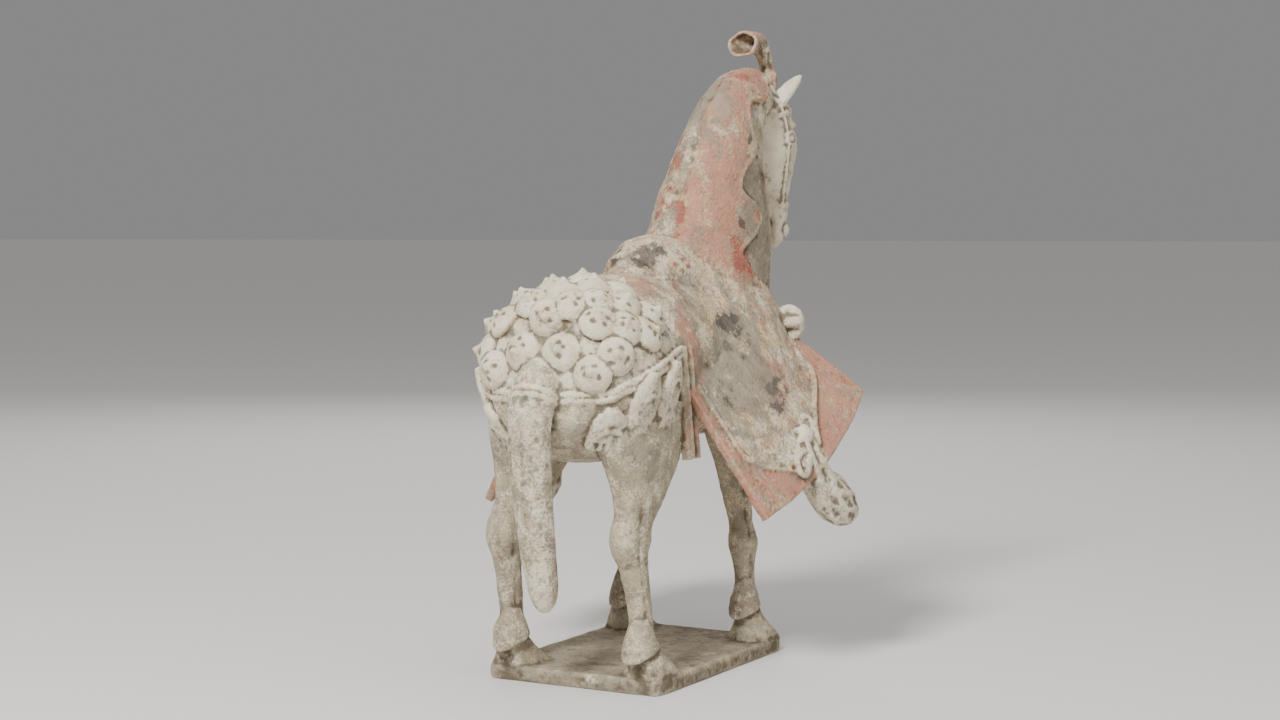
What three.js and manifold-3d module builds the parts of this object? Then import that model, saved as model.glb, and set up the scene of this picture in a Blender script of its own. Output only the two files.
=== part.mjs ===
// Painted pottery horse in full tack, standing on its slab, modelled and fired as one piece of clay.
// Millimetres, +Z up, the horse faces -Y, and the origin is the centre of the slab's underside.
import * as THREE from 'three';
import { mergeVertices } from 'three/addons/utils/BufferGeometryUtils.js';
import Module from 'manifold-3d';

// Driving dimensions
const HORSE_HEIGHT = 356; // from the slab's top to the crest of the neck
const STANCE_WIDTH = 90; // between the middles of a left and a right hoof
const STANCE_LENGTH = 135; // between the middles of a hind and a front hoof
const HOOF_RADIUS = 17;
const HOOF_HEIGHT = 20;
const SLAB_MARGIN_SIDE = -3; // the hooves stand just over the slab's long edges
const SLAB_MARGIN_END = 0;
const SLAB_THICK = 9;
const SLAB_CORNER = 6;
const SLAB_EDGE_ROUND = 1.2;
const HEAD_TURN = 24; // degrees to the horse's right
const EAR_LENGTH = 25;
const TAIL_LENGTH = 138;
const TAIL_THICK = 24;
const PLUME_MOUTH = 20;
const STRAP_WIDTH = 6;
const STRAP_RAISE = 2.2;
const BOSS_WIDTH = 22.5;
const BOSS_RAISE = 7;
const BOSS_KNOB = 3.5;
const FLAP_THICK = 5;
const CLOTH_THICK = 4;
const FOLD_RAISE = 1;
const TASSEL_WIDTH = 23;
const TASSEL_LENGTH = 60;
const KNOT_WIDTH = 15;
const MANE_ROLL = 5;
const PLEAT_RAISE = 1.2;
const HEM_BOW = 8.5; // how far the mudguard's hem bows out at its middle

// Counts of what repeats, and of the parts of the horse's height in which the tables are written
const PLEATS = 10;
const BAG_FOLDS = 4;
const HEIGHT_PARTS = 356;

// One part in millimetres: the tables, and the numbers beside them, grow with HORSE_HEIGHT
const UNIT = HORSE_HEIGHT / HEIGHT_PARTS;
const POLL = { right: 19, ahead: 122 };
const KNOT_A = 0.46; // share of the mudguard, from rear to front, at which the knot sits
const KNOT_B = 0.78; // share from root to hem
const MANE_EDGE = 200; // degrees round the neck
const MANE_WAVE = 12; // degrees
const BOSS_ROWS = [
  { ahead: -64, degrees: [0, 25, 50] },
  { ahead: -80, degrees: [13, 37, 61] },
  { ahead: -94, degrees: [0, 27, 54] },
  { ahead: -105, degrees: [16, 44, 72] },
  { ahead: -113, degrees: [0, 86] },
  { ahead: -116.8, degrees: [45] },
];
const CRUPPER_TASSELS = [ // how far ahead, degrees down from the top, length
  [-101, 130, 28],
  [-87, 113, 50],
  [-65, 105, 46],
];

const SLAB_WIDTH = STANCE_WIDTH + 2 * (HOOF_RADIUS + SLAB_MARGIN_SIDE);
const SLAB_LENGTH = STANCE_LENGTH + 2 * (HOOF_RADIUS + SLAB_MARGIN_END);
const RIGHT = 1;
const LEFT = -1;

const wasm = await Module();
wasm.setup();

/** A point of the figure: to the horse's right, ahead of the slab's middle and above the slab. */
function at(right, ahead, up) {
  return new THREE.Vector3(-right * UNIT, -ahead * UNIT, SLAB_THICK + up * UNIT);
}

/** A closed geometry as a solid that can be joined and cut. */
function solid(geometry) {
  const bare = geometry.clone();
  bare.deleteAttribute('normal');
  bare.deleteAttribute('uv');
  const merged = mergeVertices(bare, 1e-4);
  const vertProperties = new Float32Array(merged.attributes.position.array);
  const triVerts = new Uint32Array(merged.index.array);
  return new wasm.Manifold(new wasm.Mesh({ numProp: 3, vertProperties, triVerts }));
}

/** All the solids of a list as one. */
function join(solids) {
  return solids.reduce((whole, piece) => whole.add(piece));
}

/** Six times the volume that an indexed surface holds, negative when its faces point in. */
function signedVolume(points, index) {
  let total = 0;
  for (let i = 0; i < index.length; i += 3) {
    const cross = points[index[i + 1]].clone().cross(points[index[i + 2]]);
    total += points[index[i]].dot(cross);
  }
  return total;
}

/** An indexed geometry whose faces point out. */
function surface(points, index) {
  const outward = signedVolume(points, index) > 0 ? index : index.slice().reverse();
  const geometry = new THREE.BufferGeometry().setFromPoints(points);
  geometry.setIndex(outward);
  return geometry;
}

/** A closed skin over rings of equal length, with a fan on the first and the last ring. */
function skin(rings) {
  const count = rings[0].length;
  const points = rings.flat();
  const index = [];
  for (let i = 0; i + 1 < rings.length; i += 1) {
    for (let j = 0; j < count; j += 1) {
      const a = i * count + j;
      const b = i * count + ((j + 1) % count);
      index.push(a, b, b + count, a, b + count, a + count);
    }
  }
  for (const [row, flip] of [[0, true], [rings.length - 1, false]]) {
    const middle = new THREE.Vector3();
    rings[row].forEach((point) => middle.addScaledVector(point, 1 / count));
    const hub = points.push(middle) - 1;
    for (let j = 0; j < count; j += 1) {
      const a = row * count + j;
      const b = row * count + ((j + 1) % count);
      index.push(...(flip ? [hub, b, a] : [hub, a, b]));
    }
  }
  return surface(points, index);
}

/** A rounded limb along stations of { place, wide, deep }: half its width and half its depth there. */
class Limb {
  constructor(stations, across = new THREE.Vector3(1, 0, 0)) {
    this.path = new THREE.CatmullRomCurve3(stations.map((s) => s.place), false, 'centripetal');
    const sizes = stations.map((s) => new THREE.Vector3(s.wide * UNIT, s.deep * UNIT, 0));
    this.size = new THREE.CatmullRomCurve3(sizes, false, 'catmullrom', 0.5);
    this.across = across;
  }

  /** The three directions of the ring at share t: across, deep and along. */
  frame(t) {
    const step = 1e-3;
    const behind = this.path.getPoint(Math.max(t - step, 0));
    const along = this.path.getPoint(Math.min(t + step, 1)).sub(behind).normalize();
    const deep = this.across.clone().cross(along).normalize();
    const across = along.clone().cross(deep).normalize();
    return { across, deep, along };
  }

  /** A point of the skin at share t, at an angle from the across direction, raised by lift. */
  point(t, angle, lift = 0) {
    const { across, deep } = this.frame(t);
    const size = this.size.getPoint(t);
    const x = Math.cos(angle) * (size.x + lift);
    const y = Math.sin(angle) * (size.y + lift);
    return this.path.getPoint(t).addScaledVector(across, x).addScaledVector(deep, y);
  }

  /** The outward direction of the skin at share t and an angle. */
  normal(t, angle) {
    const step = 0.01;
    const around = this.point(t, angle + step).sub(this.point(t, angle - step));
    const behind = this.point(Math.max(t - step, 0), angle);
    const along = this.point(Math.min(t + step, 1), angle).sub(behind);
    const normal = around.cross(along).normalize();
    const outward = this.point(t, angle).sub(this.path.getPoint(t));
    return normal.dot(outward) < 0 ? normal.negate() : normal;
  }

  /** The limb's closed skin, with raise(t, angle) added to its radius. */
  geometry(sides, steps, raise = () => 0) {
    const rings = [];
    for (let i = 0; i <= steps; i += 1) {
      const t = i / steps;
      const ring = [];
      for (let j = 0; j < sides; j += 1) {
        const angle = (2 * Math.PI * j) / sides;
        ring.push(this.point(t, angle, raise(t, angle)));
      }
      rings.push(ring);
    }
    return skin(rings);
  }
}

/** Stations from rows of [right, ahead, up, half width, half depth]. */
function stations(rows) {
  return rows.map(([right, ahead, up, wide, deep]) => ({ place: at(right, ahead, up), wide, deep }));
}

/** A turned shape, given as rows of [radius, height], with its axis at a place and along a direction. */
function turned(profile, sides, place, direction) {
  const outline = profile.map(([radius, height]) => new THREE.Vector2(radius, height));
  const geometry = new THREE.LatheGeometry(outline, sides);
  geometry.applyQuaternion(new THREE.Quaternion().setFromUnitVectors(new THREE.Vector3(0, 1, 0), direction));
  geometry.translate(place.x, place.y, place.z);
  return geometry;
}

/** A ball squashed to three half sizes, the third along a direction. */
function lump(place, wide, high, thick, direction) {
  const geometry = new THREE.SphereGeometry(UNIT, 6, 4);
  geometry.scale(wide, high, thick);
  const turn = new THREE.Matrix4().lookAt(direction, new THREE.Vector3(), new THREE.Vector3(0, 0, 1));
  geometry.applyMatrix4(turn);
  geometry.translate(place.x, place.y, place.z);
  return geometry;
}

/** A closed sheet over a surface of two shares: from low to high along its normals. */
function sheet(pointAt, columns, rows, low, high) {
  const upper = [];
  const lower = [];
  const step = 1e-3;
  for (let i = 0; i <= columns; i += 1) {
    for (let j = 0; j <= rows; j += 1) {
      const [a, b] = [i / columns, j / rows];
      const [backA, backB] = [pointAt(Math.max(a - step, 0), b), pointAt(a, Math.max(b - step, 0))];
      const alongA = pointAt(Math.min(a + step, 1), b).sub(backA);
      const alongB = pointAt(a, Math.min(b + step, 1)).sub(backB);
      const normal = alongA.cross(alongB).normalize();
      const base = pointAt(a, b);
      upper.push(base.clone().addScaledVector(normal, high(a, b)));
      lower.push(base.clone().addScaledVector(normal, low(a, b)));
    }
  }
  const index = [];
  const node = (i, j) => i * (rows + 1) + j;
  const under = upper.length;
  for (let i = 0; i < columns; i += 1) {
    for (let j = 0; j < rows; j += 1) {
      const [a, b, c, d] = [node(i, j), node(i + 1, j), node(i + 1, j + 1), node(i, j + 1)];
      index.push(a, b, c, a, c, d);
      index.push(under + a, under + c, under + b, under + a, under + d, under + c);
    }
  }
  const rim = [];
  for (let i = 0; i < columns; i += 1) rim.push(node(i, 0));
  for (let j = 0; j < rows; j += 1) rim.push(node(columns, j));
  for (let i = columns; i > 0; i -= 1) rim.push(node(i, rows));
  for (let j = rows; j > 0; j -= 1) rim.push(node(0, j));
  rim.forEach((a, k) => {
    const b = rim[(k + 1) % rim.length];
    index.push(a, under + b, b, a, under + a, under + b);
  });
  return surface(upper.concat(lower), index);
}

/** The slab: a flat rectangle with rounded corners and edges. */
function slab() {
  const [x, y, r] = [SLAB_WIDTH / 2, SLAB_LENGTH / 2, SLAB_CORNER];
  const outline = new THREE.Shape();
  outline.moveTo(-x + r, -y);
  outline.lineTo(x - r, -y);
  outline.absarc(x - r, -y + r, r, -Math.PI / 2, 0);
  outline.lineTo(x, y - r);
  outline.absarc(x - r, y - r, r, 0, Math.PI / 2);
  outline.lineTo(-x + r, y);
  outline.absarc(-x + r, y - r, r, Math.PI / 2, Math.PI);
  outline.lineTo(-x, -y + r);
  outline.absarc(-x + r, -y + r, r, Math.PI, 1.5 * Math.PI);
  const geometry = new THREE.ExtrudeGeometry(outline, {
    depth: SLAB_THICK - 2 * SLAB_EDGE_ROUND,
    bevelThickness: SLAB_EDGE_ROUND,
    bevelSize: SLAB_EDGE_ROUND,
    bevelOffset: -SLAB_EDGE_ROUND,
    bevelSegments: 1,
    curveSegments: 2,
  });
  geometry.translate(0, 0, SLAB_EDGE_ROUND);
  return solid(geometry);
}

const TRUNK = new Limb(stations([
  [0, -118, 176, 13, 15],
  [0, -112, 175, 36, 36],
  [0, -96, 174, 51, 47],
  [0, -70, 174, 56, 52],
  [0, -40, 176, 52, 50],
  [0, 0, 177, 48, 48],
  [0, 40, 178, 49, 50],
  [0, 74, 182, 51, 53],
  [0, 100, 188, 47, 48],
  [0, 117, 194, 35, 36],
  [0, 125, 198, 15, 17],
]));

const NECK = new Limb(stations([
  [0, 64, 194, 44, 51],
  [3, 75, 222, 41, 53],
  [6, 80, 250, 37, 51],
  [10, 79, 280, 32, 44],
  [15, 77, 303, 26, 36],
  [19, 82, 324, 21, 30],
  [21, 94, 338, 17, 24],
  [22, 108, 343, 14, 17],
  [22, 120, 339, 11, 11],
]));

/** A leg between the middle of its hoof and its hip, along rows of
 * [share of the way up, ahead of the straight line, half width, half depth]. */
function leg(foot, hip, bow, rows) {
  const places = rows.map(([share, ahead, wide, deep]) => {
    const outward = bow * Math.sin(Math.PI * share);
    const shift = new THREE.Vector3(-outward * UNIT, -ahead * UNIT, 0);
    return { place: foot.clone().lerp(hip, share).add(shift), wide, deep };
  });
  return solid(new Limb(places).geometry(8, 12));
}

const HIND_ROWS = [
  [0.07, -9, 6, 7],
  [0.12, -11, 9.5, 11.5],
  [0.18, -9, 7, 8],
  [0.3, -11, 7, 8.5],
  [0.42, -15, 8, 11],
  [0.5, -17, 11, 15.5],
  [0.58, -12, 10, 16],
  [0.7, -5, 14, 26],
  [0.84, -1, 19, 39],
  [1, 0, 22, 44],
];
const FRONT_ROWS = [
  [0.1, -8, 6, 6.5],
  [0.155, -9, 9, 10.5],
  [0.21, -7, 6.5, 7.5],
  [0.3, -6, 6.4, 7.8],
  [0.39, -5, 9, 10.5],
  [0.47, -6, 7.5, 9],
  [0.58, -8, 9, 12],
  [0.74, -6, 13, 20],
  [0.86, -4, 18, 29],
  [1, 0, 22, 34],
];
const PASTERN_BACK = 8;
const LEFT_HOCK_BOW = 6;

/** A hoof of level rings that spreads from the pastern onto the slab, the pastern set back over the heel. */
function hoof(foot) {
  const sides = 8;
  const rows = [
    [0, -2 * UNIT, 0.98, 1.04],
    [0, 2 * UNIT, 0.94, 1],
    [0.4, HOOF_HEIGHT * 0.35, 0.74, 0.82],
    [0.8, HOOF_HEIGHT * 0.75, 0.56, 0.64],
    [1, HOOF_HEIGHT + 3 * UNIT, 0.4, 0.46],
  ];
  const rings = rows.map(([back, up, wide, deep]) => Array.from({ length: sides }, (_, k) => {
    const angle = (2 * Math.PI * (k + 0.5)) / sides;
    const x = Math.cos(angle) * wide * HOOF_RADIUS;
    const y = Math.sin(angle) * deep * HOOF_RADIUS + back * PASTERN_BACK * UNIT;
    return foot.clone().add(new THREE.Vector3(x, y, up));
  }));
  return solid(skin(rings));
}

/** The four legs with their hooves. */
function legs() {
  const solids = [];
  for (const side of [RIGHT, LEFT]) {
    const out = (side * STANCE_WIDTH) / 2;
    const hind = new THREE.Vector3(-out, STANCE_LENGTH / 2, SLAB_THICK);
    const front = new THREE.Vector3(-out, -STANCE_LENGTH / 2, SLAB_THICK);
    const bow = side === LEFT ? LEFT_HOCK_BOW * side : 0;
    solids.push(leg(hind, at(side * 33, -62, 158), bow, HIND_ROWS));
    solids.push(leg(front, at(side * 33, 64, 158), 0, FRONT_ROWS));
    solids.push(hoof(hind));
    solids.push(hoof(front));
  }
  return join(solids);
}

/** The tail: a thick tongue that springs from the croup and hangs clear of the legs. */
function tail() {
  const wide = TAIL_THICK / 2 / UNIT;
  const drop = TAIL_LENGTH / UNIT;
  const top = 178; // how high the croup is, in the tables' parts
  return solid(new Limb(stations([
    [0, -98, top - 6, wide, 12],
    [0, -112, top - 3, wide * 1.12, 13],
    [0, -123, top - 14, wide * 1.14, 11],
    [0, -128, top - drop * 0.22, wide * 1.08, 10.5],
    [0, -126, top - drop * 0.45, wide * 1.02, 10],
    [1, -122, top - drop * 0.7, wide * 0.9, 9.5],
    [2, -117, top - drop * 0.9, wide * 0.74, 8.5],
    [2, -115, top - drop * 0.97, wide * 0.5, 6],
    [2, -114.5, top - drop, wide * 0.16, 2],
  ])).geometry(8, 10));
}

/** A point of the head, which is turned about its poll: to its own right, ahead of it and up. */
function headPoint(right, ahead, up) {
  const local = new THREE.Vector3(-right * UNIT, -ahead * UNIT, 0);
  local.applyAxisAngle(new THREE.Vector3(0, 0, 1), -THREE.MathUtils.degToRad(HEAD_TURN));
  return at(POLL.right, POLL.ahead, up).add(local);
}

/** A direction of the head: to its own right, ahead of it and up. */
function headWay(right, ahead, up) {
  return headPoint(right, ahead, up).sub(headPoint(0, 0, 0)).normalize();
}

/** A limb along rows of [right, ahead, up, half width, half depth] in the head's own directions. */
function headLimb(rows) {
  const places = rows.map(([right, ahead, up, wide, deep]) => {
    return { place: headPoint(right, ahead, up), wide, deep };
  });
  return new Limb(places, headWay(1, 0, 0));
}

/** Skull, jaw and muzzle, with the open mouth cut through. */
function skull() {
  const whole = solid(headLimb([
    [0, -10, 338, 9, 9],
    [0, -3, 343, 14, 14],
    [0, 3, 335, 17, 20],
    [0, 6, 321, 18.5, 23],
    [0, 7, 308, 18, 23.5],
    [0, 9, 294, 14.5, 19],
    [-0.5, 11, 278, 11, 14],
    [-1, 11, 263, 11.5, 13],
    [-1.5, 10.5, 253, 11, 12],
    [-1.5, 10.5, 247, 7, 7.5],
  ]).geometry(10, 10));
  const slit = new THREE.Shape();
  slit.moveTo(-14, -1.5);
  slit.lineTo(22, -0.3);
  slit.lineTo(22, 0.3);
  slit.lineTo(-14, 3.5);
  const reach = 30;
  const cutter = new THREE.ExtrudeGeometry(slit, { depth: 2 * reach, bevelEnabled: false });
  cutter.translate(0, 0, -reach);
  cutter.scale(UNIT, UNIT, UNIT);
  const lips = headWay(0, 0.15, 1);
  const throat = lips.clone().cross(headWay(1, 0, 0)).normalize();
  cutter.applyMatrix4(new THREE.Matrix4().makeBasis(lips, throat, lips.clone().cross(throat)));
  const place = headPoint(0, 4, 249);
  cutter.translate(place.x, place.y, place.z);
  return whole.subtract(solid(cutter));
}

/** Eyes, brows and nostrils that lie on the skull. */
function face() {
  const solids = [];
  for (const side of [RIGHT, LEFT]) {
    const outward = headWay(side, 0.45, 0);
    solids.push(lump(headPoint(side * 14, 14.5, 318), 6.5, 4.5, 4, outward));
    solids.push(lump(headPoint(side * 11, 18, 327), 8, 4, 4.5, outward));
    solids.push(lump(headPoint(side * 7.5 - 1.5, 17.5, 258), 5, 5.5, 5, outward));
  }
  return join(solids.map(solid));
}

/** A pricked ear, hollowed in front. */
function ear(side) {
  const long = EAR_LENGTH / UNIT;
  const rows = [
    [side * 9, 4, 334, 5, 4],
    [side * 12, 9, 334 + long * 0.3, 6.6, 5],
    [side * 15, 15, 334 + long * 0.62, 6, 4.5],
    [side * 17, 21, 334 + long * 0.9, 3.2, 2.6],
    [side * 18, 23, 334 + long, 1, 0.8],
  ];
  const bowl = rows.slice(1, 4).map(([right, ahead, up, wide, deep]) => {
    return [right + side * 1.2, ahead + 4.6, up, wide * 0.6, deep * 0.9];
  });
  return solid(headLimb(rows).geometry(6, 4)).subtract(solid(headLimb(bowl).geometry(5, 2)));
}

/** The tied forelock: a stem that curls back and opens into a trumpet mouth. */
function plume() {
  const mouth = PLUME_MOUTH / 2 / UNIT;
  const across = new THREE.Vector3(0.95, 0.3, 0);
  const bell = new Limb(stations([
    [26, 124, 334, 6, 6],
    [26, 127, 350, 5, 5],
    [23, 128, 366, 4.6, 4.6],
    [21, 124, 377, 6, 5.5],
    [19, 116, 380.5, mouth * 0.8, 6.5],
    [16, 106, 378, mouth, 7],
  ]), across);
  const hollow = new Limb(stations([
    [19.5, 117, 379, mouth * 0.5, 2.5],
    [17.5, 110, 378, mouth * 0.74, 4.5],
    [15, 102, 377, mouth * 0.86, 5.6],
  ]), across);
  return solid(bell.geometry(9, 9)).subtract(solid(hollow.geometry(7, 2)));
}

/** The waved front edge of the mane, a raised roll down the right of the neck. */
function mane() {
  const [top, bottom] = [0.78, 0.12];
  const waves = 3;
  const count = 13;
  const places = Array.from({ length: count }, (_, k) => {
    const a = k / (count - 1);
    const degrees = MANE_EDGE - MANE_WAVE * Math.cos(2 * Math.PI * waves * a) - 8 * a;
    const place = NECK.point(top + (bottom - top) * a, THREE.MathUtils.degToRad(degrees));
    return { place, wide: MANE_ROLL / 2, deep: MANE_ROLL / 2 };
  });
  return solid(new Limb(places).geometry(5, count - 1));
}

/** The saddle under its cloth: a low cloth behind, and a steep narrow cantle that widens to the pommel. */
function saddle() {
  const raise = (t, angle) => PLEAT_RAISE * UNIT * Math.cos(PLEATS * angle) * Math.sin(Math.PI * t);
  const cloth = new Limb(stations([
    [0, -44, 177, 50, 48],
    [0, -38, 179, 53, 52],
    [0, -10, 180, 53, 53],
    [0, 40, 181, 54, 53],
  ]));
  const seat = new Limb(stations([
    [0, 5, 203, 24, 45],
    [0, 10, 206, 30, 49],
    [0, 24, 203, 40, 53],
    [0, 45, 196, 50, 58],
    [0, 72, 188, 57, 60],
    [0, 92, 187, 55, 54],
    [0, 97, 187, 48, 47],
  ]));
  return solid(cloth.geometry(2 * PLEATS, 2, raise)).add(solid(seat.geometry(2 * PLEATS, 7, raise)));
}

/** The flaring mudguard of one side as a surface: a from rear to front, b from its root to its hem. */
function flapAt(side, a, b) {
  const root = at(side * 45, -40, 176).lerp(at(side * 42, 100, 200), a);
  const hem = at(side * 96.5, -23, 88.5).lerp(at(side * 104, 103, 156), a);
  const down = hem.clone().sub(root).normalize();
  return root.lerp(hem, b).addScaledVector(down, 4 * HEM_BOW * UNIT * a * (1 - a) * b * b);
}

/** The rear and the front edge of the cloth's bag at share b of the flap, drawn in to the knot. */
function bagEdges(b) {
  const ease = (from, to) => THREE.MathUtils.smoothstep(b, from, to);
  const rear = 0.07 + (KNOT_A - 0.17) * ease(0.55, 1.0) ** 1.5;
  const front = 0.94 - 0.1 * ease(0, 0.5) - (0.78 - KNOT_A) * ease(0.5, 0.92);
  return [rear, front];
}

/** The cloth's padded bag over a flap, with folds that run down to the knot. */
function bag(side) {
  const reach = 0.9;
  const pointAt = (a, b) => {
    const [rear, front] = bagEdges(b * reach);
    return flapAt(side, rear + (front - rear) * a, b * reach);
  };
  const swell = (a, b) => {
    const round = Math.sqrt(Math.max(Math.sin(Math.PI * a), 0.02)) * (1 - 0.7 * b ** 8);
    const fold = FOLD_RAISE * Math.cos(2 * Math.PI * BAG_FOLDS * a);
    return -side * (FLAP_THICK / 2 + (CLOTH_THICK + fold) * round);
  };
  return sheet(pointAt, 3 * BAG_FOLDS, 4, () => 0, swell);
}

/** The knot where the cloth is gathered on the flap, and the tassel that swings out from it. */
function knot(side) {
  const half = KNOT_WIDTH / 2;
  const middle = flapAt(side, KNOT_A, KNOT_B);
  const alongA = flapAt(side, KNOT_A + 0.05, KNOT_B).sub(middle);
  const alongB = flapAt(side, KNOT_A, KNOT_B + 0.05).sub(middle);
  const out = alongA.cross(alongB).normalize().multiplyScalar(-side);
  const place = middle.clone().addScaledVector(out, FLAP_THICK / 2 + half * 0.5);
  const drawn = 60; // the length of the tassel that the rows below give
  const length = TASSEL_LENGTH / drawn;
  const rows = [
    [0, 0, 0, 0.7, 0.6],
    [2, 3, -14, 1.1, 1.0],
    [5, 10, -28, 1.7, 1.3],
    [9, 22, -39, 2.1, 1.5],
    [12, 34, -46, 1.8, 1.2],
    [14, 44, -50, 0.7, 0.5],
  ];
  const places = rows.map(([right, ahead, up, wide, deep]) => ({
    place: place.clone().add(new THREE.Vector3(-side * right, -ahead, up).multiplyScalar(length)),
    wide: (wide * half) / UNIT,
    deep: (deep * half) / UNIT,
  }));
  const tassel = new Limb(places, out.clone().cross(new THREE.Vector3(0, -0.7, -0.7)));
  const folds = (t, angle) => FOLD_RAISE * Math.cos(4 * angle) * Math.sin(Math.PI * t);
  const ball = lump(place, (half * 0.9) / UNIT, half / UNIT, (half * 0.8) / UNIT, out);
  return solid(ball).add(solid(tassel.geometry(8, 5, folds)));
}

/** One side's mudguard with the cloth on it. */
function flap(side) {
  const half = FLAP_THICK / 2;
  const board = sheet((a, b) => flapAt(side, a, b), 6, 3, () => -half, () => half);
  return solid(board).add(solid(bag(side))).add(knot(side));
}

/** The pleated skirt that hangs between the mudguard and the thigh. */
function underskirt(side) {
  const pointAt = (a, b) => at(side * (50 + 6 * b), -44 + 14 * a, 190 - 66 * b);
  const half = FLAP_THICK / 2;
  const pleat = (a) => 1.2 * UNIT * Math.cos(4 * Math.PI * a);
  return solid(sheet(pointAt, 4, 2, (a) => -half + pleat(a), (a) => half + pleat(a)));
}

/** The share of a limb's path that lies a given way ahead of the slab's middle. */
function shareAhead(limb, ahead) {
  let [low, high] = [0, 1];
  for (let i = 0; i < 20; i += 1) {
    const middle = (low + high) / 2;
    if (-limb.path.getPoint(middle).y < ahead * UNIT) low = middle;
    else high = middle;
  }
  return low;
}

/** The angle on the trunk of a number of degrees down from its top, to the horse's right. */
function fromTop(degrees) {
  return THREE.MathUtils.degToRad(-90 - degrees);
}

/** Domed bosses in staggered rows over the rump, each with a knob at its middle. */
function bosses() {
  const half = BOSS_WIDTH / 2;
  const root = -9;
  const dome = [
    [0, root],
    [half, BOSS_RAISE * 0.2],
    [half * 0.6, BOSS_RAISE * 0.9],
    [0, BOSS_RAISE + BOSS_KNOB],
  ];
  const solids = [];
  for (const { ahead, degrees } of BOSS_ROWS) {
    const t = shareAhead(TRUNK, ahead);
    const both = degrees.flatMap((angle) => (angle === 0 ? [0] : [angle, -angle]));
    for (const angle of both.map(fromTop)) {
      solids.push(solid(turned(dome, 7, TRUNK.point(t, angle), TRUNK.normal(t, angle))));
    }
  }
  return join(solids);
}

/** The crupper straps round the rump, with the lobed tassels that hang from them. */
function crupper() {
  const [wide, raise] = [STRAP_RAISE / UNIT, STRAP_WIDTH / 2 / UNIT];
  const solids = [];
  for (const side of [RIGHT, LEFT]) {
    solids.push(solid(new Limb(stations([
      [0, -118, 164, wide, raise],
      [side * 22, -115.5, 164, wide, raise],
      [side * 38, -108.5, 165, wide, raise],
      [side * 48.5, -97, 171, wide, raise],
      [side * 54.5, -80, 178, wide, raise],
      [side * 53.5, -48, 188, wide, raise],
    ]), new THREE.Vector3(0, 1, 0.001)).geometry(4, 7)));
    for (const [ahead, degrees, long] of CRUPPER_TASSELS) {
      const t = shareAhead(TRUNK, ahead);
      const angle = fromTop(side * degrees);
      const place = TRUNK.point(t, angle);
      const out = TRUNK.normal(t, angle);
      const down = new THREE.Vector3(0, 0, -1).addScaledVector(out, out.z).normalize();
      const half = TASSEL_WIDTH / 2 / UNIT;
      const rows = [[-0.5, 0.3, 0.2], [-0.25, 0.85, 0.36], [0.42, 1.04, 0.42], [0.5, 0.9, 0.26]];
      const places = rows.map(([share, across, deep]) => ({
        place: place.clone().addScaledVector(down, share * long * UNIT),
        wide: across * half,
        deep: deep * half,
      }));
      const fingers = (u, turn) => 0.9 * UNIT * u * Math.cos(4 * turn);
      solids.push(solid(new Limb(places, down.clone().cross(out)).geometry(8, 3, fingers)));
    }
  }
  return join(solids);
}

/** The breast strap with its row of lumpy pendants. */
function breastplate() {
  const solids = [];
  for (const degrees of [0, 33, -33, 62, -62]) {
    const angle = THREE.MathUtils.degToRad(degrees);
    const place = at(Math.sin(angle) * 62, 71 + Math.cos(angle) * 57, 194 + 6 * Math.abs(Math.sin(angle)));
    const out = at(Math.sin(angle), Math.cos(angle), 0.1).sub(at(0, 0, 0)).normalize();
    solids.push(solid(lump(place, 12, 13, 10, out)));
  }
  return join(solids);
}

const horse = join([
  slab(),
  solid(TRUNK.geometry(18, 11)),
  solid(NECK.geometry(13, 9)),
  legs(),
  tail(),
  skull(),
  face(),
  ear(RIGHT),
  ear(LEFT),
  plume(),
  mane(),
  saddle(),
  flap(RIGHT),
  flap(LEFT),
  underskirt(RIGHT),
  underskirt(LEFT),
  bosses(),
  crupper(),
  breastplate(),
]);
const shape = horse.getMesh();
const geometry = new THREE.BufferGeometry();
geometry.setAttribute('position', new THREE.BufferAttribute(new Float32Array(shape.vertProperties), 3));
geometry.setIndex(new THREE.BufferAttribute(new Uint32Array(shape.triVerts), 1));
const clay = new THREE.MeshStandardMaterial({ color: 0xcbbba4, roughness: 0.85, metalness: 0 });
const object = new THREE.Mesh(geometry, clay);
object.name = 'painted_pottery_horse';
const group = new THREE.Group();
group.add(object);

export default group;
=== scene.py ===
"""Looks of a painted pottery horse in full tack, modelled and fired as one piece of clay with its slab.

The clay is lofted again from the part's own sizes with many more faces, fused into one skin, carved,
thinned out, and coated with worn slip, pigments and burial dirt, with painted shade in its hollows and
painted highlights on its ridges. Tables are in millimetres, in the part's frame: to the horse's right,
ahead of the slab's middle, and up from the slab's top.
"""

import logging
import math
from collections.abc import Callable, Sequence
from dataclasses import dataclass, field
from enum import Enum

import bpy
import numpy as np
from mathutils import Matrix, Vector
from mathutils.bvhtree import BVHTree


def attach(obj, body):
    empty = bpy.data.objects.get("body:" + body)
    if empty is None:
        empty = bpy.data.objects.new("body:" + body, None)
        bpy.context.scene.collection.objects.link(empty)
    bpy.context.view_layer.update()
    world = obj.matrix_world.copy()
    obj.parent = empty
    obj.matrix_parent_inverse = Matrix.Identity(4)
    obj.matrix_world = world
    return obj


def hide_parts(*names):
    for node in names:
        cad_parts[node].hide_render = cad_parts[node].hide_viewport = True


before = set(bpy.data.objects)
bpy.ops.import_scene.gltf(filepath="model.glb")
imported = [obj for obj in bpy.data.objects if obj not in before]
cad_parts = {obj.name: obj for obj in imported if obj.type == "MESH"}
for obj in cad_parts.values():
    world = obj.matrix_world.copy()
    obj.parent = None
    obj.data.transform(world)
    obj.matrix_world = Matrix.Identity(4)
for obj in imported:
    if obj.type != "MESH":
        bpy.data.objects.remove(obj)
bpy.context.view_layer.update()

LOG = logging.getLogger("painted_horse")
NODE = "painted_pottery_horse"
SLOT = "painted_clay"
PIECE = "fired_clay_horse"
MM = 0.001
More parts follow.
